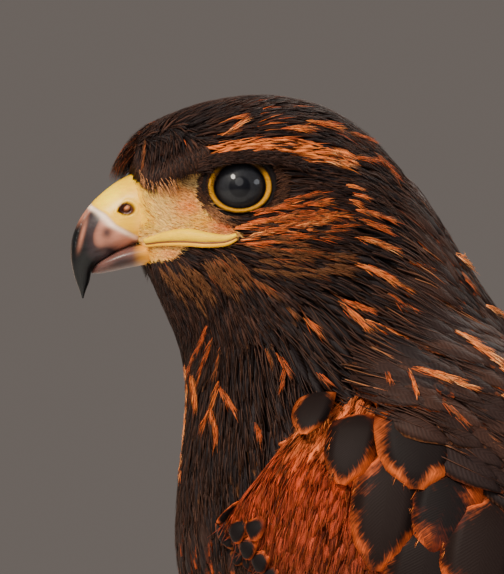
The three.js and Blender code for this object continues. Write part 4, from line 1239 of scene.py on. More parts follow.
def makeThighCoat(side, sideName):
    place = thighSurfaces[side]
    a, b = scatter(place, (0.1, 0.96), (0, 360), 5.5, lambda s: 3.4 - 1.4 * s)
    n = len(a)
    tone = blend(plumage["chestnut"], plumage["patch"], rng.random(n)) * rng.uniform(0.6, 1.15, (n, 1))
    length = np.interp(a, [0, 0.6, 1], [22, 18, 9]) * rng.uniform(0.85, 1.15, n)
    heights = np.array([-3.0, -1.4, -0.4, 0.2]) + rng.uniform(-0.2, 0.2, (n, 1))
    style = {"shape": [0.5, 0.9, 1.0, 0.7, 0.1], "section": lens, "camber": 0.12, "patch": 0.008}
    coatPiece(f"thighFeathers{sideName}", place, 1, (a, b),
              (length, np.interp(a, [0, 1], [7.0, 4.0]), rng.normal(0, 0.08, n), heights),
              (tone, plumage["rust"], 0.5 * rng.random(n)), style, softVane, wholeMap)
    a, b = scatter(place, (0.1, 0.98), (0, 360), 4.0, 1.9, 0.5)
    n = len(a)
    tone = blend(plumage["chestnut"], plumage["rust"], 0.5 * rng.random(n)) * rng.uniform(0.5, 1.2, (n, 1))
    heights = rows(-1.6, 0.1, 0.3 + rng.uniform(-0.2, 0.5, n))
    sizes = (np.interp(a, [0, 1], [12, 7]) * rng.uniform(0.7, 1.1, n), 0.5, rng.normal(0, 0.15, n), heights)
    hairs(f"thighBarbs{sideName}", place, 1, (a, b), sizes,
          (tone, plumage["flame"], 0.2 * rng.random(n)), wholeMap)


for side, sideName in sides:
    makeThighCoat(side, sideName)
print("thighs done")

# The folded wings

mantle = {
    "span": (0.38, 0.83), "turns": (-88, 88), "row": 5.6, "column": 4.6, "width": (7.0, 11.0),
    # the lower edge, z at each x
    "edgeX": [10, 16, 24, 35, 41, 49, 53.5, 58, 66, 90, 120],
    "edgeZ": [-50, -51.5, -54.5, -57, -59.5, -65, -69.7, -75.3, -82, -104, -132],
}

wing = {
    "patchLength": 9.0,
    # the painted highlight along the top edge of the shoulder patch
    "patchLitTop": (0.56, 0.125, 0.035),
    "patchMiddle": (0.30, 0.036, 0.011),
    "patchLow": (0.12, 0.024, 0.012),
    "spots": [
        # x, z of the middle of a spotted shoulder feather, width, length, rise, lean of its way
        (19.3, -58.6, 10.5, 17.5, 5.6, -0.35), (28.0, -65.5, 13.5, 20.0, 6.6, -0.30),
        (41.5, -64.0, 21.0, 23.0, 8.4, -0.05), (34.0, -77.0, 17.0, 29.0, 7.2, -0.22),
        (48.5, -80.0, 17.0, 25.0, 8.2, -0.30), (57.0, -91.0, 20.0, 32.0, 9.2, -0.15),
        (44.5, -94.0, 18.5, 27.0, 7.6, -0.20),
    ],
    # the rows behind them: b of the first and last, how many, rise
    "rearRows": [(40, 24, 8, 7.6), (29, 16, 9, 8.3), (19, 8, 9, 8.8)],
    # x and z of the dark drops along the wing's front edge
    "marginal": [(-2.5, -79.9), (0.2, -84.0), (3.0, -88.0), (5.7, -91.5), (8.5, -95.0), (11.4, -98.8),
                 (4.6, -83.2)],
}


def spotMaterial(name):
    # A feather with a dark drop in its middle and rusty barbs round it
    finish = Finish(name)
    maths, noise, smoothStep = finish.maths, finish.noise, finish.smoothStep
    edge, v, tone, rim = finish.blade()
    across = maths("POWER", maths("MULTIPLY", edge, 1.12), 2.0)
    lengthwise = maths("POWER", maths("ABSOLUTE", maths("MULTIPLY_ADD", v, 2.5, -1.42)), 2.0)
    phase, depth = finish.barbs(edge, v, 230.0, 60.0, 240.0, 6.0)
    fray = finish.add("CombineXYZ", X=maths("MULTIPLY", phase, 0.22), Y=edge).outputs[0]
    ragged = maths("MULTIPLY", noise(1.0, 4.0, 0.7, fray), 1.5)
    patches = maths("MULTIPLY", noise(85.0, 4.0, 0.6), 3.2)
    broken = maths("SUBTRACT", maths("ADD", ragged, patches), 2.35)
    far = maths("ADD", maths("ADD", across, lengthwise), broken)
    mask = maths("MULTIPLY", smoothStep(far, 0.62, 1.7), rim["Alpha"])
    # painted highlights: paler rust on the barbs' crests
    barbHighlight = np.minimum(1.0, plumage["rust"] * (1.5, 1.6, 1.4))
    rusty = finish.mix(maths("MULTIPLY", depth, noise(150.0)), rim["Color"], barbHighlight)
    rusty = finish.mix(smoothStep(noise(60.0, 2.0), 0.44, 0.6), rusty, plumage["patch"] * 0.42)
    finish.colour(finish.mix(mask, tone, rusty), maths("MULTIPLY_ADD", depth, 0.07, 0.95))
    finish.bump(depth, 0.15, 0.0002)
    finish.shine(Roughness=0.62, Specular_IOR_Level=0.08)
    return finish.material


spotVane = spotMaterial("spotVane")


def findPlace(place, spots, spanA, spanB):
    # The places a, b of a surface that lie at the given x, z
    gridA, gridB = gridOver(spanA, spanB, 180, 180)
    seen = place(gridA, gridB, 0 * gridA)
    found = [np.argmin((seen[:, 0] - x) ** 2 + (seen[:, 2] - z) ** 2) for x, z in spots]
    return gridA[found], gridB[found]


def armSurface(side):
    base = shellSurfaces[side]

    def place(a, b, h):
        return base(a, b, armHeight(a, b) + h)

    place.step = 0.004
    return place


def wingMap(a, b):
    return np.stack([0.02 + 0.9 * np.clip(a, -0.05, 1.05), 0.02 + 0.96 * b / 180], -1)


def makeWingForm(side, sideName):
    bm = bmesh.new()
    bmesh.ops.create_cube(bm, size=2.0)
    bmesh.ops.subdivide_edges(bm, edges=bm.edges[:], cuts=19, use_grid_fill=True)
    spots = np.array([v.co for v in bm.verts])
    a = 0.004 + 0.61 * (spots[:, 0] + 1) / 2
    b = 8 + 112 * (spots[:, 1] + 1) / 2
    top = armHeight(a, b) - 0.9
    setPoints(bm, shellSurfaces[side](a, b, mix(-9.0 + 0 * a, top, (spots[:, 2] + 1) / 2)))
    bmesh.ops.recalc_face_normals(bm, faces=bm.faces)
    form = fromBmesh(f"wingForm{sideName}", bm, bareSkin)
    addTones(form, np.tile(plumage["chestnut"] * 0.5, (len(form.data.vertices), 1)))
    announce(form, "rufous_plumage", f"wing_{sideName.lower()}")


# The rows of long feathers, from front to back: how many, a and b of the first and last root and tip, their
# heights over the wing with how each changes from first to last, and their colours
tiers = [
    {"name": "primaries", "count": 8, "root": (0.56, 0.56, 70, 100), "tip": (0.88, 1.0, 44, 84), "early": 1.4,
     "levels": [(-5.2, -2.8), (-1.0, -5.0), (-0.7, -5.0), (-0.5, -5.0)], "width": 15.0, "tilt": 0.25,
     "colours": ("flight", "umber", 0.7), "material": flightVane, "spread": 0.0},
    {"name": "secondaries", "count": 10, "root": (0.48, 0.52, 20, 96),
     "tip": (0.73, 0.79, 14, 84), "early": 1.0,
     "levels": [(-5.5, 0.0), (2.0, -0.8), (2.5, -0.8), (2.2, -0.8)], "width": 16.0, "tilt": 0.75,
     "colours": ("flight", "chestnut", 0.8), "material": flightVane, "spread": 0.3},
    {"name": "greaterCoverts", "count": 11, "root": (0.40, 0.43, 36, 107),
     "tip": (0.57, 0.63, 31, 99), "early": 1.0,
     "levels": [(-4.0, 0.0), (4.8, -0.6), (5.2, -0.6), (4.8, -0.6)], "width": 15.0, "tilt": 0.7,
     "colours": ("flight", "chestnut", 1.0), "material": coverVane, "spread": 0.4},
    {"name": "medianCoverts", "count": 11, "root": (0.29, 0.32, 44, 110),
     "tip": (0.43, 0.48, 42, 104), "early": 1.0,
     "levels": [(-2.0, 0.0), (6.6, 0.0), (7.1, 0.0), (6.7, 0.0)], "width": 14.0, "tilt": 0.65,
     "colours": ("chestnut", "rust", 0.6), "material": coverVane, "spread": 0.5},
]
dropShape = [0.4, 0.72, 0.92, 1.0, 1.0, 0.94, 0.72, 0.2]


def wingTier(side, sideName, tier):
    n = tier["count"]
    s = np.linspace(0, 1, n)
    a0, b0 = mix(*tier["root"][:2], s), mix(*tier["root"][2:], s)
    a1, b1 = mix(*tier["tip"][:2], np.minimum(1, s * tier["early"])), mix(*tier["tip"][2:], s)
    tone, rim, strength = tier["colours"]
    looks = (plumage[tone] * rng.uniform(0.8, 1.2, (n, 1)), plumage[rim], strength * rng.uniform(0.8, 1.0, n))
    style = {"shape": [0.42, 0.72, 0.9, 1.0, 1.0, 0.96, 0.84, 0.6, 0.14], "pace": 0.85, "section": vane,
             "camber": 0.06, "tilt": tier["tilt"], "toTips": True, "patch": 0.03}
    jitter = rng.normal(0, tier["spread"], (2, n))
    heights = rows(*(level + change * s for level, change in tier["levels"]))
    sizes = (a1 - a0 + jitter[0] * 0.01, tier["width"], b1 - b0 + jitter[1], heights)
    coatPiece(f"{tier['name']}{sideName}", shellSurfaces[side], -side, (a0, b0), sizes, looks, style,
              tier["material"], wingMap)


def makeWing(side, sideName):
    makeWingForm(side, sideName)
    for tier in tiers:
        wingTier(side, sideName, tier)
    makeLesserCoverts(side, sideName)
    makeScapulars(side, sideName)


def patchTones(point, n):
    # The shoulder patch: painted light makes it bright at its top edge; rusty red below, purple brown at the
    # bottom
    x, z = point[:, 0], point[:, 2]
    share = np.clip((z + 59) / -38, 0, 1)
    # painted highlight along the patch's top edge, where the light falls
    upper = blend(wing["patchLitTop"], wing["patchMiddle"], share / 0.16)
    lower = blend(wing["patchMiddle"], wing["patchLow"], (share - 0.16) / 0.84)
    mottle = np.sin(x * 0.9 + 2.2 * np.sin(z * 0.37)) * np.sin(z * 0.7 + 1.9 * np.sin(x * 0.31))
    fine = np.sin(x * 2.1 + 2.6 * np.sin(z * 0.83)) * np.sin(z * 1.3 + 2.3 * np.sin(x * 0.71))
    colour = np.where(share[:, None] < 0.16, upper, lower)
    colour = colour * np.clip(1 + 0.42 * mottle + 0.4 * fine, 0.2, 2)[:, None]
    return blend(colour, plumage["chestnut"], ease(x, 45, 110)) * rng.uniform(0.7, 1.25, (n, 1))


def marginShare(x, z):
    return np.exp(-(((x + 3 + 0.35 * (z + 84)) / 5.2) ** 2)) * ease(-z, 74, 79)


def covertYaw(place, side, a, b, x, z, front, spread):
    # The small coverts hang at the shoulder and run back along the rest of the wing
    lean = ease(x, 20, 90)
    way = (mix(mix(front, -0.15, ease(-z, 60, 76)), 0.62, lean), mix(-1.0, -0.75, lean))
    return yawTowards(place, -side, np.maximum(a, 0.03), b, *way) + rng.normal(0, spread, len(a))


def makeLesserCoverts(side, sideName):
    place = armSurface(side)
    a, b = scatter(place, (0.0, 0.36), (15, 124), 3.4, 3.2)
    point = place(a, b, 0 * a)
    keep = (point[:, 0] > 15) | (point[:, 2] < -70)
    a, b, point, n = a[keep], b[keep], point[keep], keep.sum()
    x, z = point[:, 0], point[:, 2]
    tone = patchTones(point, n)
    marginal = np.clip(1.6 * marginShare(x, z), 0, 1)
    edge = ease(-x - 0.3 * (z + 84), 4.0, 6.5) * ease(-z, 72, 79)
    tone = blend(tone, plumage["charcoal"] * 0.7, marginal * (rng.random(n) < 0.85))
    tone = blend(tone, plumage["white"] * 0.8, edge * 0.85)
    yaw = covertYaw(place, side, a, b, x, z, -0.5, 0.12)
    lean = ease(x, 20, 90)
    length = wing["patchLength"] * rng.uniform(0.8, 1.2, n) * (1 - 0.5 * marginal) * mix(1, 1.4, lean)
    width = mix(4.4, 7.6, np.maximum(0.2 * marginal, lean * 0.7))
    raised = 1 - marginal
    heights = rows(-1.6, -0.3 + 0.3 * raised, 0.5 * raised, 0.7 * raised + rng.uniform(-0.1, 0.3, n) * raised)
    rim = blend(plumage["rust"], plumage["flame"], 0.5 * rng.random(n))
    style = {"shape": [0.5, 0.95, 1.0, 0.7, 0.1], "section": lens, "camber": 0.1}
    coatPiece(f"lesserCoverts{sideName}", place, -side, (a, b), (length, width, yaw, heights),
              (tone, rim, np.where(marginal > 0.4, 0.3, 0.12)), style, softVane, wingMap)
    a, b = scatter(place, (0.0, 0.40), (9, 122), lambda s: 1.6 + 2.0 * s, lambda s: 0.55 + 3.0 * s, 0.5)
    point = place(a, b, 0 * a)
    keep = rng.random(len(a)) > 0.9 * marginShare(point[:, 0], point[:, 2])
    a, b, point, n = a[keep], b[keep], point[keep], keep.sum()
    yaw = covertYaw(place, side, a, b, point[:, 0], point[:, 2], -0.6, 0.16)
    tone = patchTones(point, n) * rng.choice([0.35, 0.85, 1.1, 1.7], n, p=[0.25, 0.35, 0.28, 0.12])[:, None]
    heights = rows(0.2, 1.0, 1.2 + rng.uniform(-0.2, 0.6, n))
    hairs(f"lesserBarbs{sideName}", place, -side, (a, b), (rng.uniform(3.0, 7.0, n), 0.28, yaw, heights),
          (tone, plumage["flame"], 0.3 * rng.random(n) ** 2), wingMap)
    a, b = findPlace(armSurface(-1), wing["marginal"], (0.0, 0.3), (10, 120))
    n = len(a)
    yaw = yawTowards(place, -side, np.maximum(a, 0.03), b, -0.3, -1.0)
    length, width = rng.uniform(6.0, 7.5, n), rng.uniform(5.0, 6.0, n)
    back = stepsFor(place, -side, a, b, length * 0.55, yaw)
    style = {"shape": dropShape, "section": vane, "camber": 0.08}
    coatPiece(f"marginalCoverts{sideName}", place, -side, (a - back[0], b - back[1]),
              (length, width, yaw, np.tile([-0.4, 1.8, 2.5, 2.3], (n, 1))),
              (plumage["charcoal"] * 0.5, plumage["rust"], 1.0), style, spotVane, wingMap)
    print("lesser coverts", sideName, n)


def makeScapulars(side, sideName):
    place = shellSurfaces[side]
    x, z, width, length, rise, lean = np.array(wing["spots"]).T
    a, b = findPlace(shellSurfaces[-1], zip(x, z), (-0.03, 0.3), (5, 110))
    yaw = yawTowards(place, -side, a, b, lean, -1.0)
    back = stepsFor(place, -side, a, b, length * 0.58, yaw)
    sets = [(a - back[0], b - back[1], length, width, yaw, rise)]
    for row, (bFrom, bTo, count, lift) in enumerate(wing["rearRows"]):
        s = (np.arange(count) + 0.3 * row) / count
        sets.append((mix(0.14 - 0.02 * row, 0.48, s), mix(bFrom, bTo, ease(s, 0, 1)), mix(29, 40, s),
                     np.full(count, 17.5), mix(0.85, 0.0, ease(s, 0, 0.7)), lift - 3.2 * s))
    a, b, length, width, yaw, rise = (np.concatenate(values) for values in zip(*sets))
    n = len(a)
    heights = rows(rise - 6.5, rise - 0.8, rise, rise + 0.1, rise - 0.2)
    tone = blend(plumage["charcoal"], plumage["umber"], 0.25 * rng.random(n)) * 0.5
    rim = blend(plumage["rust"], plumage["flame"], 0.3 * rng.random(n))
    rim = rim * mix(1.0, 0.45, ease(a, 0.2, 0.45))[:, None]
    style = {"shape": dropShape, "section": vane, "camber": 0.08, "tilt": 0.5, "patch": 0.03}
    coatPiece(f"scapulars{sideName}", place, -side, (a, b), (length, width, yaw, heights), (tone, rim, 1.0),
              style, spotVane, wingMap)
    # loose barbs that break the edges of the dark drops, rusty outside and dark inside
    count = 3800
    pick = rng.integers(0, n, count)
    v = rng.uniform(0.35, 0.93, count)
    u = rng.choice([-1, 1], count) * rng.uniform(0.1, 0.46, count)
    u = u * np.sqrt(np.clip(np.sin(np.pi * v ** 0.8), 0, 1))
    step = stepsFor(place, -side, a, b, length, yaw)
    perp = stepsFor(place, -side, a, b, width, yaw + np.pi / 2)
    rootA = a[pick] + step[0][pick] * v + perp[0][pick] * u
    rootB = b[pick] + step[1][pick] * v + perp[1][pick] * u
    out = np.hypot(2.5 * u, 2.2 * (v - 0.56)) + rng.normal(0, 0.14, count)
    rusty = blend(plumage["rust"] * 0.5, plumage["flame"], rng.random(count) ** 1.5)
    rusty = rusty * mix(1.0, 0.4, ease(rootA, 0.2, 0.45))[:, None]
    tone = blend(plumage["charcoal"] * 0.7, rusty, ease(out, 0.78, 1.05))
    top = rise[pick]
    heights = rows(top - 0.1, top + 0.15, top + rng.uniform(0.0, 0.25, count))
    turned = yaw[pick] + u * mix(1.0, 0.2, v) + rng.normal(0, 0.1, count)
    spots = place(rootA, rootB, top)
    keep = spots[:, 2] < np.interp(spots[:, 0], mantle["edgeX"], mantle["edgeZ"]) - 1.0
    hairs(f"scapularBarbs{sideName}", place, -side, (rootA[keep], rootB[keep]),
          (rng.uniform(1.4, 3.4, count)[keep], 0.15, turned[keep], heights[keep]),
          (tone[keep], plumage["tan"], 0.25 * rng.random(keep.sum())), wingMap)


for side, sideName in sides:
    makeWing(side, sideName)
print("wings done")


# The tail

def tailMaterial():
    # White at the root and at the tip
    finish = Finish("tailVane")
    maths, smoothStep = finish.maths, finish.smoothStep
    edge, v, tone, rim = finish.blade()
    along = maths("ADD", v, maths("MULTIPLY_ADD", finish.noise(500.0), 0.05, -0.025))
    tip = smoothStep(along, 0.905, 0.925)
    base = maths("SUBTRACT", 1.0, smoothStep(along, 0.27, 0.33))
    depth = finish.barbs(edge, v, 900.0, 70.0)[1]
    quill = maths("SUBTRACT", 1.0, smoothStep(edge, 0.03, 0.07))
    shade = maths("MULTIPLY_ADD", quill, 0.5, maths("MULTIPLY_ADD", depth, 0.22, 0.82))
    finish.colour(finish.mix(maths("MAXIMUM", tip, base), tone, rim["Color"]), shade)
    finish.bump(depth, 0.3, 0.0002)
    finish.shine(Roughness=0.45)
    return finish.material


def tailMap(a, b):
    return np.stack([0.1 + a / 300, 0.5 + b / 80], -1)


def makeTail():
    ranks, hands = np.repeat(np.arange(tail["feathers"] // 2), 2), np.tile([-1, 1], tail["feathers"] // 2)
    n = len(ranks)
    height = np.where((ranks == 0) & (hands > 0), -0.3, -1.3) - ranks * 1.0
    a0, b0 = np.full(n, -14.0), hands * (1.5 + ranks * 1.3)
    a1, b1 = tail["length"] - ranks * 1.6, hands * (2.0 + ranks * 4.4)
    tone = plumage["flight"] * rng.uniform(0.85, 1.15, (n, 1))
    style = {"shape": [0.45, 0.62, 0.78, 0.9, 0.97, 1.0, 1.0, 1.0, 0.97, 0.88, 0.62, 0.15], "pace": 0.8,
             "section": vane, "camber": 0.035, "toTips": True, "patch": 0.05}
    sizes = (a1 - a0, 21.0, b1 - b0, rows(height, height, height))
    piece = coatPiece("tailFeathers", tailPlace, 1, (a0, b0), sizes, (tone, plumage["white"], 1.0), style,
                      tailMaterial(), tailMap)
    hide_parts("tail")
    for name in ("upperTailCoverts", "underTailCoverts"):
        form = tail[name]
        sets = []
        for row in range(4):
            s = np.linspace(-1, 1, 7 - (row % 2))
            sets.append((np.full_like(s, form["start"] + row * 9.0), s * (12 - 1.2 * row),
                         form["reach"] - 8 * s ** 2 - form["shorter"] * row,
                         form["lift"] + form["rise"] * row - 1.5 * s ** 2 * form["way"]))
        a, b, reach, lift = (np.concatenate(values) for values in zip(*sets))
        tone = plumage["white"] * rng.uniform(0.85, 1.05, (len(a), 1))
        style = {"shape": [0.4, 0.75, 0.95, 1.0, 0.95, 0.75, 0.2], "section": vane, "camber": 0.08,
                 "toTips": True, "patch": 0.03, "tilt": 0.5 * form["way"]}
        coatPiece(name, tailPlace, 1, (a, b), (reach, 13.0, b * 0.25, rows(form["root"], lift, lift, lift)),
                  (tone, plumage["tan"], 0.12), style, softVane, tailMap)


makeTail()
print("tail done")


# The mantle lies over the body's back and the roots of the wings

def cloakHeights(coverNames, spanA, spanB, cells):
    # How far above the body the wings' coverts reach, smoothed, so that the mantle lies over them
    reach = 0.035  # metres, more than any of them stands out
    forest = []
    for name in coverNames:
        mesh = bpy.data.objects[name].data
        corners = [vert.co[:] for vert in mesh.vertices]
        forest.append(BVHTree.FromPolygons(corners, [facet.vertices[:] for facet in mesh.polygons]))
    a, b = gridOver(spanA, spanB, cells, cells)
    base = metres(bodyPlace(a, b, 0 * a))
    out = surfaceFrame(bodyPlace, 1, a, b)[2]
    height = np.zeros(len(a))
    for i, (spot, way) in enumerate(zip(base, out)):
        for tree in forest:
            hit = tree.ray_cast(Vector(spot + way * reach), Vector(-way), reach)
            if hit[0] is not None:
                height[i] = max(height[i], (reach - hit[3]) * 1000)
    height = height.reshape(cells, cells)
    for turn in range(5):
        wide = np.pad(height, 1, mode="edge")
        near = [wide[:-2, 1:-1], wide[2:, 1:-1], wide[1:-1, :-2], wide[1:-1, 2:], height]
        height = np.maximum.reduce(near) if turn < 2 else sum(near) / 5
    return height


def mantleSurface():
    cells = 64
    spanA, spanB = (0.36, 0.90), (-90, 90)
    covers = [f"{name}{sideName}" for name in ("scapulars", "lesserCoverts") for _, sideName in sides]
    height = cloakHeights(covers, spanA, spanB, cells)

    def place(a, b, h):
        b = np.where(b > 180, b - 360, b)
        x = np.clip((a - spanA[0]) / (spanA[1] - spanA[0]), 0, 1) * (cells - 1.001)
        y = np.clip((b - spanB[0]) / (spanB[1] - spanB[0]), 0, 1) * (cells - 1.001)
        i, j = x.astype(int), y.astype(int)
        f, g = x - i, y - j
        low = mix(height[i, j], height[i, j + 1], g)
        lift = mix(low, mix(height[i + 1, j], height[i + 1, j + 1], g), f)
        return bodyPlace(a, b, h + lift)

    place.step = 0.004
    return place


def mantleKeep(place, a, b, length, yaw):
    # The mantle's feathers end along a line that falls from the shoulder to the back
    step = stepsFor(place, 1, a, b, length, yaw)
    tip = bodyPlace(a + step[0], b + step[1], 0 * a + 4.0)
    line = np.interp(tip[:, 0], mantle["edgeX"], mantle["edgeZ"])
    reach = np.interp(a, [0.40, 0.47, 0.56, 0.83], [34, 88, 88, 34])
    return (tip[:, 2] > line) & (np.abs(b) < reach)


def makeMantle(place):
    def lay(rowStep, columnStep, lengths, spread):
        a, b = scatter(place, mantle["span"], mantle["turns"], rowStep, columnStep)
        level = ease(np.abs(np.sin(np.radians(b))), 0.2, 0.6) * (1 - ease(a, 0.56, 0.66))
        yaw = yawTowards(place, 1, a, b, *wayAt(*bodySeen(a, b)[:2])) * level
        yaw = yaw + rng.normal(0, spread, len(a))
        length = rng.uniform(*lengths, len(a)) * mix(0.75, 1.2, ease(a, 0.4, 0.75))
        keep = mantleKeep(place, a, b, length, yaw)
        return (a[keep], b[keep]), yaw[keep], length[keep], keep.sum()

    unwrap = bodyMap((0.3, 1.0))
    roots, yaw, length, n = lay(mantle["row"], mantle["column"], (19.0, 25.0), 0.06)
    width = mix(*mantle["width"], ease(roots[0], 0.4, 0.8))
    heights = rows(-3.0, -0.6, 0.5, 0.8 + rng.uniform(-0.3, 0.3, n))
    cool = blend(plumage["charcoal"], plumage["umber"], rng.uniform(0.0, 0.6, n))
    rim = blend(plumage["tan"], plumage["rust"], rng.random(n))
    style = {"shape": [0.4, 0.75, 0.95, 1.0, 0.85, 0.5, 0.1], "section": vane, "camber": 0.1, "patch": 0.012}
    coatPiece("mantleFeathers", place, 1, roots, (length, width, yaw, heights),
              (cool, rim, rng.uniform(0.2, 0.9, n)), style, cloakVane, unwrap)
    roots, yaw, length, n = lay(2.9, 1.45, (7.0, 15.0), 0.09)
    heights = rows(0.2, 1.1, 1.2 + rng.uniform(-0.2, 0.5, n))
    warm = ease(streaks["neck"](*roots) + rng.normal(0, 0.08, n), 0.80, 1.0)
    tone = blend(blend(plumage["charcoal"], plumage["umber"], rng.random(n)), plumage["tan"] * 1.2, warm)
    hairs("mantleBarbs", place, 1, roots, (length, 0.4, yaw, heights),
          (tone, plumage["rust"], 0.3 * warm), unwrap)
    print("mantle", n)


mantlePlace = mantleSurface()
makeMantle(mantlePlace)
findMantle = makeFinder(mantlePlace, (0.40, 0.80), (2, 88))
for side, sideName in sides:
    makeStrokes(side, sideName, mantlePlace, findMantle,
                [row for row in strokes if row[0] > 50 or onMantle(row)], "mantleStreaks", 1.4)

# The bill and the cere

bill = {
    "upper": [
        (-17.6, 3.0, -17.6, -12.0, 0.0, 0), (-20.6, 6.4, -20.6, -13.4, 9.2, 0.12),
        (-27.2, 3.6, -26.2, -14.0, 8.0, 0.14), (-31.0, 1.7, -30.3, -15.6, 7.2, 0.16),
        (-34.8, -1.1, -33.4, -17.0, 6.3, 0.16), (-38.1, -4.3, -35.4, -18.3, 5.4, 0.14),
        (-40.9, -8.2, -36.5, -19.2, 4.4, 0.12), (-42.7, -13.0, -37.2, -20.0, 3.4, 0.1),
        (-43.0, -17.5, -37.9, -21.4, 2.5, 0.05), (-42.2, -21.8, -38.4, -23.6, 1.6, 0),
        (-40.9, -25.4, -39.3, -25.9, 0.9, 0), (-40.1, -27.6, -39.8, -27.6, 0.0, 0),
    ],
    "lower": [
        (-12.0, -15.2, -12.0, -17.0, 0.0, 0), (-16.0, -14.2, -16.5, -18.6, 6.4, -0.15),
        (-23.0, -13.6, -23.0, -19.0, 6.7, -0.15), (-29.5, -14.7, -29.5, -20.2, 5.8, -0.15),
        (-35.4, -17.6, -35.0, -21.3, 3.6, -0.1), (-38.0, -20.2, -37.8, -21.3, 0.0, 0),
    ],
    # where the cere ends in front, x at each z
    "cereZ": [-16.0, -13.4, -11.7, -9.4, -6.6, -4.4, 0.0],
    "cereX": [-20.0, -23.3, -26.2, -30.6, -33.2, -36.8, -38.2],
    # x, z, half its length and half its height
    "nostril": (-28.2, -5.4, 2.5, 1.8),
    "pink": (0.50, 0.20, 0.13),
    "slate": (0.022, 0.013, 0.016),
    "black": (0.003, 0.0035, 0.0045),
    "pale": (0.95, 0.72, 0.55),
    # the dark red painted into the nostril's opening as its shade
    "yellow": (0.80, 0.43, 0.0),
    # the lighter yellow of a painted highlight on the cere
    "light": (1.0, 0.66, 0.0),
    "hole": (0.055, 0.012, 0.008),
    "knob": (0.45, 0.17, 0.07),
    "mauve": (0.125, 0.055, 0.045),
    "lowerSlate": (0.022, 0.014, 0.018),
    "ochre": (0.72, 0.30, 0.01),
}


def billColour(x, z):
    front = x - np.interp(z, bill["cereZ"], bill["cereX"])  # above 0 on the cere
    dark = smudge(x, z, [(-35.9, -7.6, 1.5, 3.0, -25, 1.2), (-38.2, -12.0, 1.9, 5.8, -12, 1.3),
                         (-32.9, -11.2, 1.6, 1.7, -30, 0.85), (-33.0, -16.6, 3.6, 2.2, 18, 1.25),
                         (-24.6, -13.9, 2.6, 0.9, 12, 0.8), (-39.5, -17.5, 4.8, 5.0, 0, 1.6)])
    tip = ease(-x - 0.12 * (z + 14), 36.5, 39.3) * ease(-z, 6, 11) + ease(-z, 16.5, 19.5)
    streak = smudge(x, z, [(-39.0, -11.5, 0.55, 4.2, -14, 0.75), (-34.6, -13.4, 1.2, 2.0, 20, 0.35)])
    colour = blend(bill["pink"], bill["slate"], dark)
    colour = blend(colour, bill["black"], np.clip(tip, 0, 1) * (1 - 0.6 * streak))
    colour = blend(colour, np.multiply(bill["pink"], 0.75), streak * (1 - ease(-z, 15, 18)))
    pale = np.exp(-((front + 1.1) / 1.3) ** 2) * ease(-z, 14.5, 11.5)
    colour = blend(colour, bill["pale"], np.clip(0.85 * pale, 0, 1))
    # painted highlight: a lighter yellow spot on the upper front of the cere
    bright = np.clip(1.1 * spot(x, z, -32.5, -2.5, 4.2, 2.6, 40), 0, 1)
    cere = blend(bill["yellow"], bill["light"], bright)
    cere = blend(cere, face["cream"], 0.32 * ease(x, -27.5, -24.0) * ease(-z, 4, 9))
    colour = blend(colour, cere, ease(front, -0.35, 0.45))
    nx, nz, wide, high = bill["nostril"]
    # painted shade: the nostril's opening is coloured dark red
    hole = spot(x, z, nx + 0.1, nz, wide, high, -10)
    colour = blend(colour, bill["hole"], ease(hole, 0.34, 0.6))
    return blend(colour, bill["knob"], ease(spot(x, z, nx + 0.35, nz + 0.3, 1.0, 0.75), 0.4, 0.8))


def billDent(x, z):
    # The nostril as a teardrop pit with a knob in it, and the step at the front of the cere
    nx, nz, wide, high = bill["nostril"]
    point = 0.55 * ease(nx - x, 0, 2.2)
    gap = np.hypot((x - nx) / wide, (z - nz + 0.28 * (nx - x) * (x < nx)) / (high * (1 - point)))
    pit = 1.7 * (1 - ease(gap, 0.62, 0.98)) - 0.22 * np.exp(-(((gap - 1.12) / 0.14) ** 2))
    knob = 1.35 * np.exp(-((np.hypot((x - nx - 0.35) / 0.95, (z - nz - 0.25) / 0.8)) ** 2))
    front = x - np.interp(z, bill["cereZ"], bill["cereX"])
    step = 0.28 * (1 - ease(front, -0.5, 0.5)) * ease(-z, 16.0, 13.5)
    groove = 0.25 * np.exp(-(((z + 15.6 - 0.25 * (x + 33)) / 0.5) ** 2))
    groove = groove * ease(-x, 24, 27) * (1 - ease(-x, 35, 37))
    return pit - np.minimum(knob, pit + 0.4) * (gap < 1) + step + groove


def hornMaterial(name, rough, coat, grainScale, grainStrength, gloss):
    finish = Finish(name)
    stretch = finish.add("Mapping", Vector=finish.place, Rotation=(0.0, 0.6, 0.0), Scale=(0.45, 1.0, 1.6))
    grain = finish.noise(grainScale, 5.0, 0.6, stretch.outputs["Vector"])
    finish.colour(finish.attribute("tone")["Color"], finish.maths("MULTIPLY_ADD", grain, 0.5, 0.75))
    fine = finish.noise(grainScale * 3, 4.0)
    finish.bump(finish.maths("ADD", grain, fine), grainStrength, 0.00015)
    finish.shine(Roughness=finish.maths("MULTIPLY_ADD", fine, 0.25, rough), Specular_IOR_Level=gloss,
                 Coat_Weight=coat, Coat_Roughness=0.2, Subsurface_Weight=0.08, Subsurface_Scale=0.001)
    return finish.material


billHorn = hornMaterial("billHorn", 0.28, 0.1, 700.0, 0.25, 0.22)
scaledSkin = hornMaterial("scaledSkin", 0.42, 0.0, 900.0, 0.4, 0.25)
lidSkin = hornMaterial("lidSkin", 0.5, 0.0, 900.0, 0.4, 0.06)
clawHorn = hornMaterial("clawHorn", 0.2, 0.3, 500.0, 0.3, 0.4)


def loftPiece(name, around, rings, place, material, colours, slot=None, *nodes):
    # A closed round form: place gives its points from the share of its length and the turn round it
    bm, share, turn = sphereGrid(around, rings)
    points = place(share, turn)
    setPoints(bm, points)
    mapGrid(bm, share, turn)
    bmesh.ops.recalc_face_normals(bm, faces=bm.faces)
    piece = fromBmesh(name, bm, material)
    addTones(piece, colours(points) if callable(colours) else np.tile(colours, (len(points), 1)))
    announce(piece, slot, *nodes)


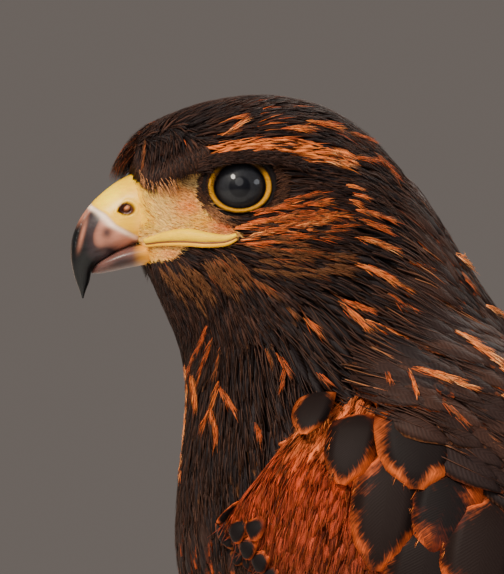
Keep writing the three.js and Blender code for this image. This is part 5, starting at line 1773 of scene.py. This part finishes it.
def makeBill():
    seen = {}

    def upper(share, turn):
        point = sectionPoint(along(bill["upper"], share), turn, 0.0 * share)
        seen["upper"] = seenFrom(point)
        dent = billDent(seen["upper"][:, 0], point[:, 2]) * (np.abs(point[:, 1]) > 2.0)
        point[:, 1] -= np.sign(point[:, 1]) * np.minimum(dent, np.abs(point[:, 1]))
        tooth = 0.55 * np.exp(-(((point[:, 0] + 34.6) / 1.6) ** 2))
        point[:, 2] -= tooth * ease(-np.cos(np.radians(turn)), 0.55, 0.95)
        return turnHead(point)

    def lower(share, turn):
        point = sectionPoint(along(bill["lower"], share), turn, 0.0 * share)
        seen["lower"] = seenFrom(point)
        return turnHead(point)

    def upperColour(points):
        return billColour(seen["upper"][:, 0], seen["upper"][:, 2])

    def lowerColour(points):
        x, z = seen["lower"][:, 0], seen["lower"][:, 2]
        dark = smudge(x, z, [(-29.5, -18.6, 3.2, 1.5, 15, 0.8), (-35.5, -20.0, 2.5, 1.0, 0, 0.4)])
        return blend(blend(bill["mauve"], bill["lowerSlate"], dark), bill["ochre"], ease(x, -27.0, -23.0))

    loftPiece("billUpper", 128, 190, upper, billHorn, upperColour, "horn", "bill_upper", "cere")
    loftPiece("billLower", 64, 70, lower, billHorn, lowerColour, "horn", "bill_lower")


makeBill()

mouth = {
    # x, distance from the middle plane and z of the line between the lips
    "line": [(-25.6, 7.8, -14.1), (-21.3, 14.7, -13.6), (-16.8, 18.7, -13.6), (-12.5, 21.3, -13.9),
             (-7.9, 22.8, -13.6), (-5.1, 23.5, -12.4)],
    "upperLip": {"rise": 1.0, "radii": [0.8, 1.3, 1.65, 1.35, 0.85, 0.5], "colour": (0.80, 0.47, 0.0)},
    "lowerLip": {"rise": -0.55, "radii": [0.2, 0.45, 0.6, 0.6, 0.55, 0.3], "colour": (0.76, 0.36, 0.0)},
    "gap": {"rise": 0.0, "radii": [0.25, 0.34, 0.36, 0.34, 0.3, 0.1], "colour": (0.16, 0.05, 0.015)},
}


def tubePlace(points, radii, flat=1.0, wave=None):
    points = np.asarray(points, float)

    def place(share, turn):
        centre = along(points, share)
        ahead = unit(along(points, np.minimum(share + 0.01, 1)) - along(points, np.maximum(share - 0.01, 0)))
        side = unit(np.cross(ahead, np.array([0.0, 0.0, 1.0])))
        up = np.cross(side, ahead)
        angle = np.radians(turn)
        end = (share < 1e-4) | (share > 1 - 1e-4)
        radius = np.where(end, 0, curve(radii, share))
        if wave is not None:
            radius = radius + wave(share, angle) * ~end
        centre = centre + side * (np.cos(angle) * radius)[:, None]
        return centre + up * (np.sin(angle) * radius * flat)[:, None]

    return place


def makeMouth():
    for side, sideName in sides:
        for name in ("upperLip", "lowerLip", "gap"):
            form = mouth[name]
            points = []
            for (x, y, z), radius in zip(mouth["line"], form["radii"]):
                out = 0.1 if name == "gap" else -0.35 * radius
                points.append((x, side * (y + out), z + form["rise"] * (radius if name == "upperLip" else 1)))
            lay = tubePlace(points, form["radii"])
            loftPiece(f"{name}{sideName}", 24, 56, lambda s, t: turnHead(lay(s, t)), scaledSkin,
                      form["colour"])


makeMouth()

# The eyes and their lids

def roundEye(side, angle, ring, high, squeeze=1.0):
    # Points round the eye's axis: how far from it, how high along it, angle 0 towards the back of the head
    turned = math.radians(eye["forward"])
    axis = np.array([-math.sin(turned), side * math.cos(turned), 0.0])
    across = np.array([axis[1], -axis[0], 0.0]) * side
    points = np.array([-eyeAhead, side * eye["depth"], 0.0]) + axis * high[:, None]
    points = points + across * (np.cos(angle) * ring)[:, None]
    return turnHead(points + np.array([0.0, 0.0, 1.0]) * (np.sin(angle) * ring * squeeze)[:, None])


def eyeMaterial():
    finish = Finish("wetEye")
    maths, noise, smoothStep = finish.maths, finish.noise, finish.smoothStep
    far = finish.map("eyeMap")[0]
    ragged = maths("ADD", far, maths("MULTIPLY_ADD", noise(900.0, 4.0), 0.3, -0.15))
    dark, light = (np.multiply(eye["irisColour"], share) for share in (0.5, 1.7))
    iris = finish.mix(noise(2600.0, 2.0), dark, light)
    iris = finish.mix(smoothStep(far, 4.6, 6.1), iris, eye["edgeColour"])
    pupil = smoothStep(ragged, eye["pupil"] - 0.25, eye["pupil"] + 0.35)
    finish.colour(finish.mix(pupil, eye["pupilColour"], iris))
    finish.shine(Roughness=0.5, Specular_IOR_Level=0.1, Coat_Weight=0.6, Coat_Roughness=0.03, Coat_IOR=1.3)
    return finish.material


def makeEyes():
    wetEye = eyeMaterial()
    for side, sideName in sides:
        bm, share, turn = sphereGrid(48, 64)
        polar = share * math.pi
        bulge = eye["radius"] + 0.5 * np.exp(-((polar / 0.42) ** 2))
        ring = np.sin(polar) * bulge
        setPoints(bm, roundEye(side, np.radians(turn), ring, np.cos(polar) * bulge))
        bmesh.ops.recalc_face_normals(bm, faces=bm.faces)
        layer = bm.loops.layers.uv.new("eyeMap")
        reach = np.where(polar < math.pi / 2, ring, 20.0)
        for facet in bm.faces:
            for loop in facet.loops:
                loop[layer].uv = (reach[loop.vert.index], turn[loop.vert.index] / 360)
        announce(fromBmesh(f"eye{sideName}", bm, wetEye), "eye", f"eye_{sideName.lower()}")
        makeLid(side, sideName)


def makeLid(side, sideName):
    bm = bmesh.new()
    verts = [bm.verts.new((r, 0.0, h)) for r, h in eye["lid"]]
    edges = [bm.edges.new((verts[i], verts[i - 1])) for i in range(len(verts))]
    bmesh.ops.subdivide_edges(bm, edges=edges, cuts=1, smooth=0.6)
    bmesh.ops.spin(bm, geom=bm.verts[:] + bm.edges[:], axis=(0, 0, 1), cent=(0, 0, 0), steps=120,
                   angle=2 * math.pi, use_merge=True)
    spots = np.array([v.co for v in bm.verts])
    angle = np.arctan2(spots[:, 1], spots[:, 0])
    radius, high = np.hypot(spots[:, 0], spots[:, 1]), spots[:, 2]
    hump = ease(radius, 6.4, 6.7) * (1 - ease(radius, 7.8, 8.1))
    beads = 0.10 * np.sin(angle * 46) * np.sin(radius * 5.2 + 1.3 * np.sin(angle * 23)) * hump
    squeeze = 0.885 + 0.045 * np.sin(angle)
    upright = 1 - (1 - squeeze) * np.sin(angle) ** 2  # how far in the lid comes at this angle
    ball = np.sqrt(np.maximum(eye["radius"] ** 2 - (radius * upright) ** 2, 1)) - np.sqrt(
        np.maximum(eye["radius"] ** 2 - radius ** 2, 1))
    high = high + beads + ball * (1 - ease(radius, 6.5, 8.2)) - 0.4 * ease(radius, 8.8, 10.4)
    setPoints(bm, roundEye(side, angle, radius, high, squeeze))
    bmesh.ops.recalc_face_normals(bm, faces=bm.faces)
    lid = fromBmesh(f"eyelid{sideName}", bm, lidSkin)
    shade = 1 - 0.93 * ease(np.sin(angle), 0.2, 0.75)  # painted shadow of the brow: the ring's upper part is darker
    ringTone = np.array(eye["ringColour"]) * shade[:, None] * rng.uniform(0.8, 1.15, (len(spots), 1))
    outer = ease(radius, 7.5, 8.0) + (1 - ease(radius, 6.4, 6.75)) * 0.85
    addTones(lid, blend(ringTone, eye["rimColour"], np.clip(outer, 0, 1)))
    announce(lid, "yellow_skin", f"eyelid_{sideName.lower()}")


makeEyes()

# Brow, bristles of the lores and of the chin


def makeBrow(side, sideName):
    # Stiff dark feathers that overhang the eye, and soft hairs round the rest of the lids
    n = 800
    s = rng.random(n)
    x = mix(-12.0, 12.5, s) + rng.normal(0, 0.3, n)
    lift = rng.random(n)
    z = np.interp(x, [-12, -9, -5, 0, 5, 10, 13], [3.4, 5.0, 6.0, 6.4, 6.4, 5.7, 4.6]) + mix(-0.2, 2.0, lift)
    a, b = findBody(x, z, side)
    yaw = yawTowards(bodyPlace, 1, a, b, 1.0, mix(0.12, -0.3, s)) + rng.normal(0, 0.12, n)
    heights = rows(-0.6, 0.7, 1.0 + 0.9 * (1 - lift), 0.9 + 1.2 * (1 - lift))
    tone = blend(plumage["charcoal"] * 0.7, plumage["umber"], 0.6 * rng.random(n))
    style = {"shape": [0.6, 1.0, 0.7, 0.08], "section": lens, "camber": 0.2}
    coatPiece(f"brow{sideName}", bodyPlace, 1, (a, b), (rng.uniform(3.5, 5.5, n), 0.6, yaw, heights),
              (tone, plumage["umber"], 0.3 * rng.random(n)), style, softVane, headMap)
    n = 1000
    angle = rng.uniform(math.radians(140), math.radians(400), n)
    far = 0.99 + rng.uniform(0, 0.26, n)
    x, z = -0.1 + 8.8 * far * np.cos(angle), -0.3 + 7.3 * far * np.sin(angle)
    a, b = findBody(x, z, side)
    yaw = yawTowards(bodyPlace, 1, a, b, 1.0, mix(-0.55, 0.35, ease(x, -7, 6))) + rng.normal(0, 0.2, n)
    depth = coatDepth(a)
    heights = rows(-depth, -0.3 * depth, 0.3 * rng.random(n))
    front = 1 - ease(x, -7, 0)
    tone = blend(plumage["charcoal"] * 0.6, plumage["umber"], rng.random(n))
    tone = blend(tone, (0.70, 0.30, 0.13), 0.75 * front * ease(-z, 3, 6) * rng.random(n))
    faceHairs(f"lidHairs{sideName}", (a, b), (rng.uniform(1.6, 3.0, n), 0.2, yaw, heights),
              (tone, plumage["tan"], 0.3 * rng.random(n)))


def makeBristles(side, sideName):
    n = 9600
    x, z = rng.uniform(-28, 0, n), rng.uniform(-19.5, 4.6, n)
    near = insideOf(face["lores"], x, z) & (eyeGap(x, z) > 1.06)
    lipX = [-26, -23.2, -17.6, -14.5, -11.4, -5.2, -1]
    lipZ = [-13.4, -12.9, -11.2, -10.7, -11.5, -12.3, -12.5]
    clear = (z > np.interp(x, lipX, lipZ)) | (z < -15.2)
    clear = clear & (rng.random(n) < ease(x + 0.25 * (z + 5), -25.5, -21.0) + (z < -9))
    x, z = x[near & clear], z[near & clear]
    n = len(x)
    a, b = findBody(x, z, side)
    wayX = mix(0.55, 1.0, ease(x, -25, -12))
    wayZ = mix(-0.1, mix(-0.95, -0.35, ease(x, -25, -10)), ease(z, -13, 2))
    yaw = yawTowards(bodyPlace, 1, a, b, wayX, wayZ) + rng.normal(0, 0.22, n)
    depth = coatDepth(a)
    ahead = 1 - ease(x, -26.5, -22)
    heights = rows(-depth - 0.1 + 0.8 * ahead, -depth + 0.3 + 1.3 * ahead,
                   -depth + 0.35 + 0.45 * rng.random(n) + 1.4 * ahead)
    tone = loreColour(x, z) * rng.uniform(0.65, 1.35, (n, 1))
    tone[rng.random(n) < 0.13] *= np.array([0.45, 0.28, 0.2])
    faceHairs(f"loreBristles{sideName}", (a, b), (rng.uniform(1.2, 2.8, n), 0.15, yaw, heights),
              (tone, (1.0, 0.76, 0.36), 0.5 * rng.random(n)))
    n = 130
    x, z = rng.uniform(-28.5, -24.0, n), rng.uniform(-21.5, -18.8, n)
    a, b = findBody(x, z, side)
    heights = rows(-0.8, 0.5 + 0.6 * rng.random(n), 1.2 + 1.6 * rng.random(n))
    yaw = yawTowards(bodyPlace, 1, a, b, rng.uniform(-1.1, 0.1, n), -1.0)
    tone = blend(plumage["charcoal"], plumage["umber"], rng.random(n))
    faceHairs(f"chinBristles{sideName}", (a, b), (rng.uniform(3.0, 6.5, n), 0.12, yaw, heights),
              (tone, plumage["charcoal"], 0.5), 0.1)
    makeForelock(side, sideName)
    onBody = [row for row in strokes if not onMantle(row)]
    makeStrokes(side, sideName, bodyPlace, findBody, onBody, "streakAndRimLightBarbs")


for side, sideName in sides:
    makeBrow(side, sideName)
    makeBristles(side, sideName)
print("face done")

# Shanks, toes and claws

foot = {
    "shankRadii": [3.4, 6.0, 4.9, 4.4, 4.4, 4.9, 6.0, 4.8],
    "scutes": 14,
    "toeFrom": 7.5,
    "toes": {
        "inner": {"heading": 27, "length": 36, "claw": 21, "thick": 5.0},
        "middle": {"heading": -4, "length": 48, "claw": 18, "thick": 4.8},
        "outer": {"heading": -40, "length": 39, "claw": 16, "thick": 4.5},
        "hind": {"heading": 172, "length": 29, "claw": 24, "thick": 5.0},
    },
    "skinColour": (0.72, 0.44, 0.05),
    "clawColour": (0.012, 0.011, 0.012),
}


def plates(share, count):
    # A row of overlapping plates: each rises slowly and ends in a step
    t = np.mod(share * count, 1)
    return np.where(t < 0.86, 0.3 + 0.7 * t / 0.86, (1 - t) / 0.14)


def footTones(points):
    shade = rng.uniform(0.92, 1.06, (len(points), 1))
    # painted shade: the skin is darker within 2.2 mm of the floor
    under = ease(points[:, 2] - leg["floor"], 0.0, 2.2)[:, None]
    return np.array(foot["skinColour"]) * shade * (0.62 + 0.38 * under)


def onFloor(lay):
    # The same surface, but nowhere under the floor
    def place(share, turn):
        spots = lay(share, turn)
        spots[:, 2] = np.maximum(spots[:, 2], leg["floor"])
        return spots

    return place


def makeShank(side, sideName):
    y = side * leg["spread"]

    def shank(share, turn):
        angle = np.radians(turn)
        end = (share < 1e-4) | (share > 1 - 1e-4)
        front = np.maximum(0, -np.cos(angle))
        rear = np.maximum(0, np.cos(angle)) ** 3
        radius = curve(foot["shankRadii"], share) + 0.62 * front ** 0.7 * plates(share, foot["scutes"])
        radius = np.where(end, 0, radius + 0.3 * rear * plates(share, foot["scutes"] * 0.8))
        x = mix(leg["ankle"][0], leg["foot"][0], share)
        z = mix(leg["ankle"][1] + 6, leg["foot"][1] - 2, share)
        return np.stack([x + np.cos(angle) * radius * 1.15, y + np.sin(angle) * radius * 0.9, z], 1)

    def ball(share, turn):
        angle, polar = np.radians(turn), share * math.pi
        spots = np.stack([9.4 * np.sin(polar) * np.cos(angle), 8.4 * np.sin(polar) * np.sin(angle),
                          6.4 * np.cos(polar)], 1)
        spots *= 1 + 0.03 * np.sin(9 * angle)[:, None] * np.sin(8 * polar)[:, None]
        return spots + np.array([leg["foot"][0], y, leg["floor"] + 5.2])

    loftPiece(f"shank{sideName}", 40, 150, shank, scaledSkin, footTones, "yellow_skin",
              f"shank_{sideName.lower()}")
    loftPiece(f"footBall{sideName}", 40, 30, onFloor(ball), scaledSkin, footTones)


def makeToe(side, sideName, toeName):
    toe = foot["toes"][toeName]
    angle = math.radians(toe["heading"])
    aheadX, aheadY = -math.cos(angle), -side * math.sin(angle)
    length, thick = toe["length"], toe["thick"]
    pieceEnd, nodeEnd = toeName.capitalize() + sideName, f"{toeName}_{sideName.lower()}"

    def at(out, up):
        return (leg["foot"][0] + aheadX * out, side * leg["spread"] + aheadY * out, leg["floor"] + up)

    def wave(share, around):
        upper = np.maximum(0, np.sin(around))
        lower = np.maximum(0, -np.sin(around))
        pads = 0.35 * np.cos(share * 2 * math.pi * 3) * lower
        return 0.45 * upper ** 0.6 * plates(share, round(length / 3.2)) + pads

    joints = np.array([0, 0.18, 0.34, 0.5, 0.66, 0.82, 1])
    points = [at(foot["toeFrom"] - 3 + s * (length + 3), thick * 0.86 + math.sin(math.pi * s))
              for s in joints]
    radii = np.array([1, 1.05, 0.88, 1.02, 0.84, 0.96, 0.72]) * thick
    loftPiece(f"toe{pieceEnd}", 28, 90, onFloor(tubePlace(points, radii * 0.94, 0.94, wave)), scaledSkin,
              footTones, "yellow_skin", f"toe_{nodeEnd}")
    profile = [(-0.12, 0.95), (0.18, 1.25), (0.5, 1.2), (0.78, 0.72), (0.95, 0.08)]
    start = foot["toeFrom"] + length
    points = [at(start + out * toe["claw"], up * thick * 0.95) for out, up in profile]
    radii = np.array([0.55, 0.66, 0.5, 0.32, 0.1]) * thick
    loftPiece(f"claw{pieceEnd}", 24, 48, onFloor(tubePlace(points, radii, 1.1)), clawHorn,
              foot["clawColour"], "horn", f"claw_{nodeEnd}")


for side, sideName in sides:
    makeShank(side, sideName)
    for toeName in foot["toes"]:
        makeToe(side, sideName, toeName)
print("feet done")

# The studio: a pale floor, soft lights and the photograph's view
studio = {
    "lens": 502.0,
    "away": 2.0,
    "aim": (3.0, -24.75),
    "floor": (0.78, 0.76, 0.72),
    "sky": (0.36, 0.31, 0.28),
    # place from the neck in metres, size, power and colour
    "lights": {
        "keyLight": ((-0.8, -0.98, 1.1), 0.45, 50.0, (1.0, 0.93, 0.80)),
        "frontLight": ((-0.14, -1.25, 0.56), 0.95, 9.5, (1.0, 0.97, 0.94)),
        "sideLight": ((1.2, -0.62, 0.4), 0.4, 4.0, (0.90, 0.94, 1.0)),
        "rimLight": ((-0.95, 1.1, -0.15), 0.6, 2.5, (1.0, 0.70, 0.52)),
        "backLight": ((0.7, 1.0, 1.1), 0.6, 20.0, (1.0, 0.90, 0.80)),
    },
}


def makeStudio():
    bm = bmesh.new()
    bmesh.ops.create_grid(bm, x_segments=4, y_segments=4, size=3.0)
    finish = Finish("paleFloor")
    finish.colour(finish.mix(finish.noise(6.0, 4.0), np.multiply(studio["floor"], 0.97), studio["floor"]))
    finish.shine(Roughness=0.75)
    floor = fromBmesh("floor", bm, finish.material)
    floor.location.z = float(cadBox[0][2])
    world = bpy.data.worlds.new("studioSky")
    world.use_nodes = True
    world.node_tree.nodes["Background"].inputs["Color"].default_value = (*studio["sky"], 1)
    world.node_tree.nodes["Background"].inputs["Strength"].default_value = 0.42
    bpy.context.scene.world = world
    middle = Vector(metres(np.array([10.0, 0.0, -20.0])))
    for name, (place, size, power, colour) in studio["lights"].items():
        light = bpy.data.lights.new(name, "AREA")
        light.shape = "DISK"
        light.size = size
        light.energy = power
        light.color = colour
        lamp = addObject(name, light)
        lamp.location = middle + Vector(place)
        lamp.rotation_euler = (middle - lamp.location).to_track_quat("-Z", "Y").to_euler()
    camera = addObject("camera", bpy.data.cameras.new("camera"))
    camera.data.lens = studio["lens"]
    camera.data.sensor_width = 36.0
    camera.data.clip_end = 20.0
    aim = metres(np.array([studio["aim"][0], 0.0, studio["aim"][1]]))
    camera.location = Vector(aim) - Vector((0, studio["away"], 0))
    camera.rotation_euler = (math.pi / 2, 0, 0)
    bpy.context.scene.camera = camera


makeStudio()
print("studio ready")
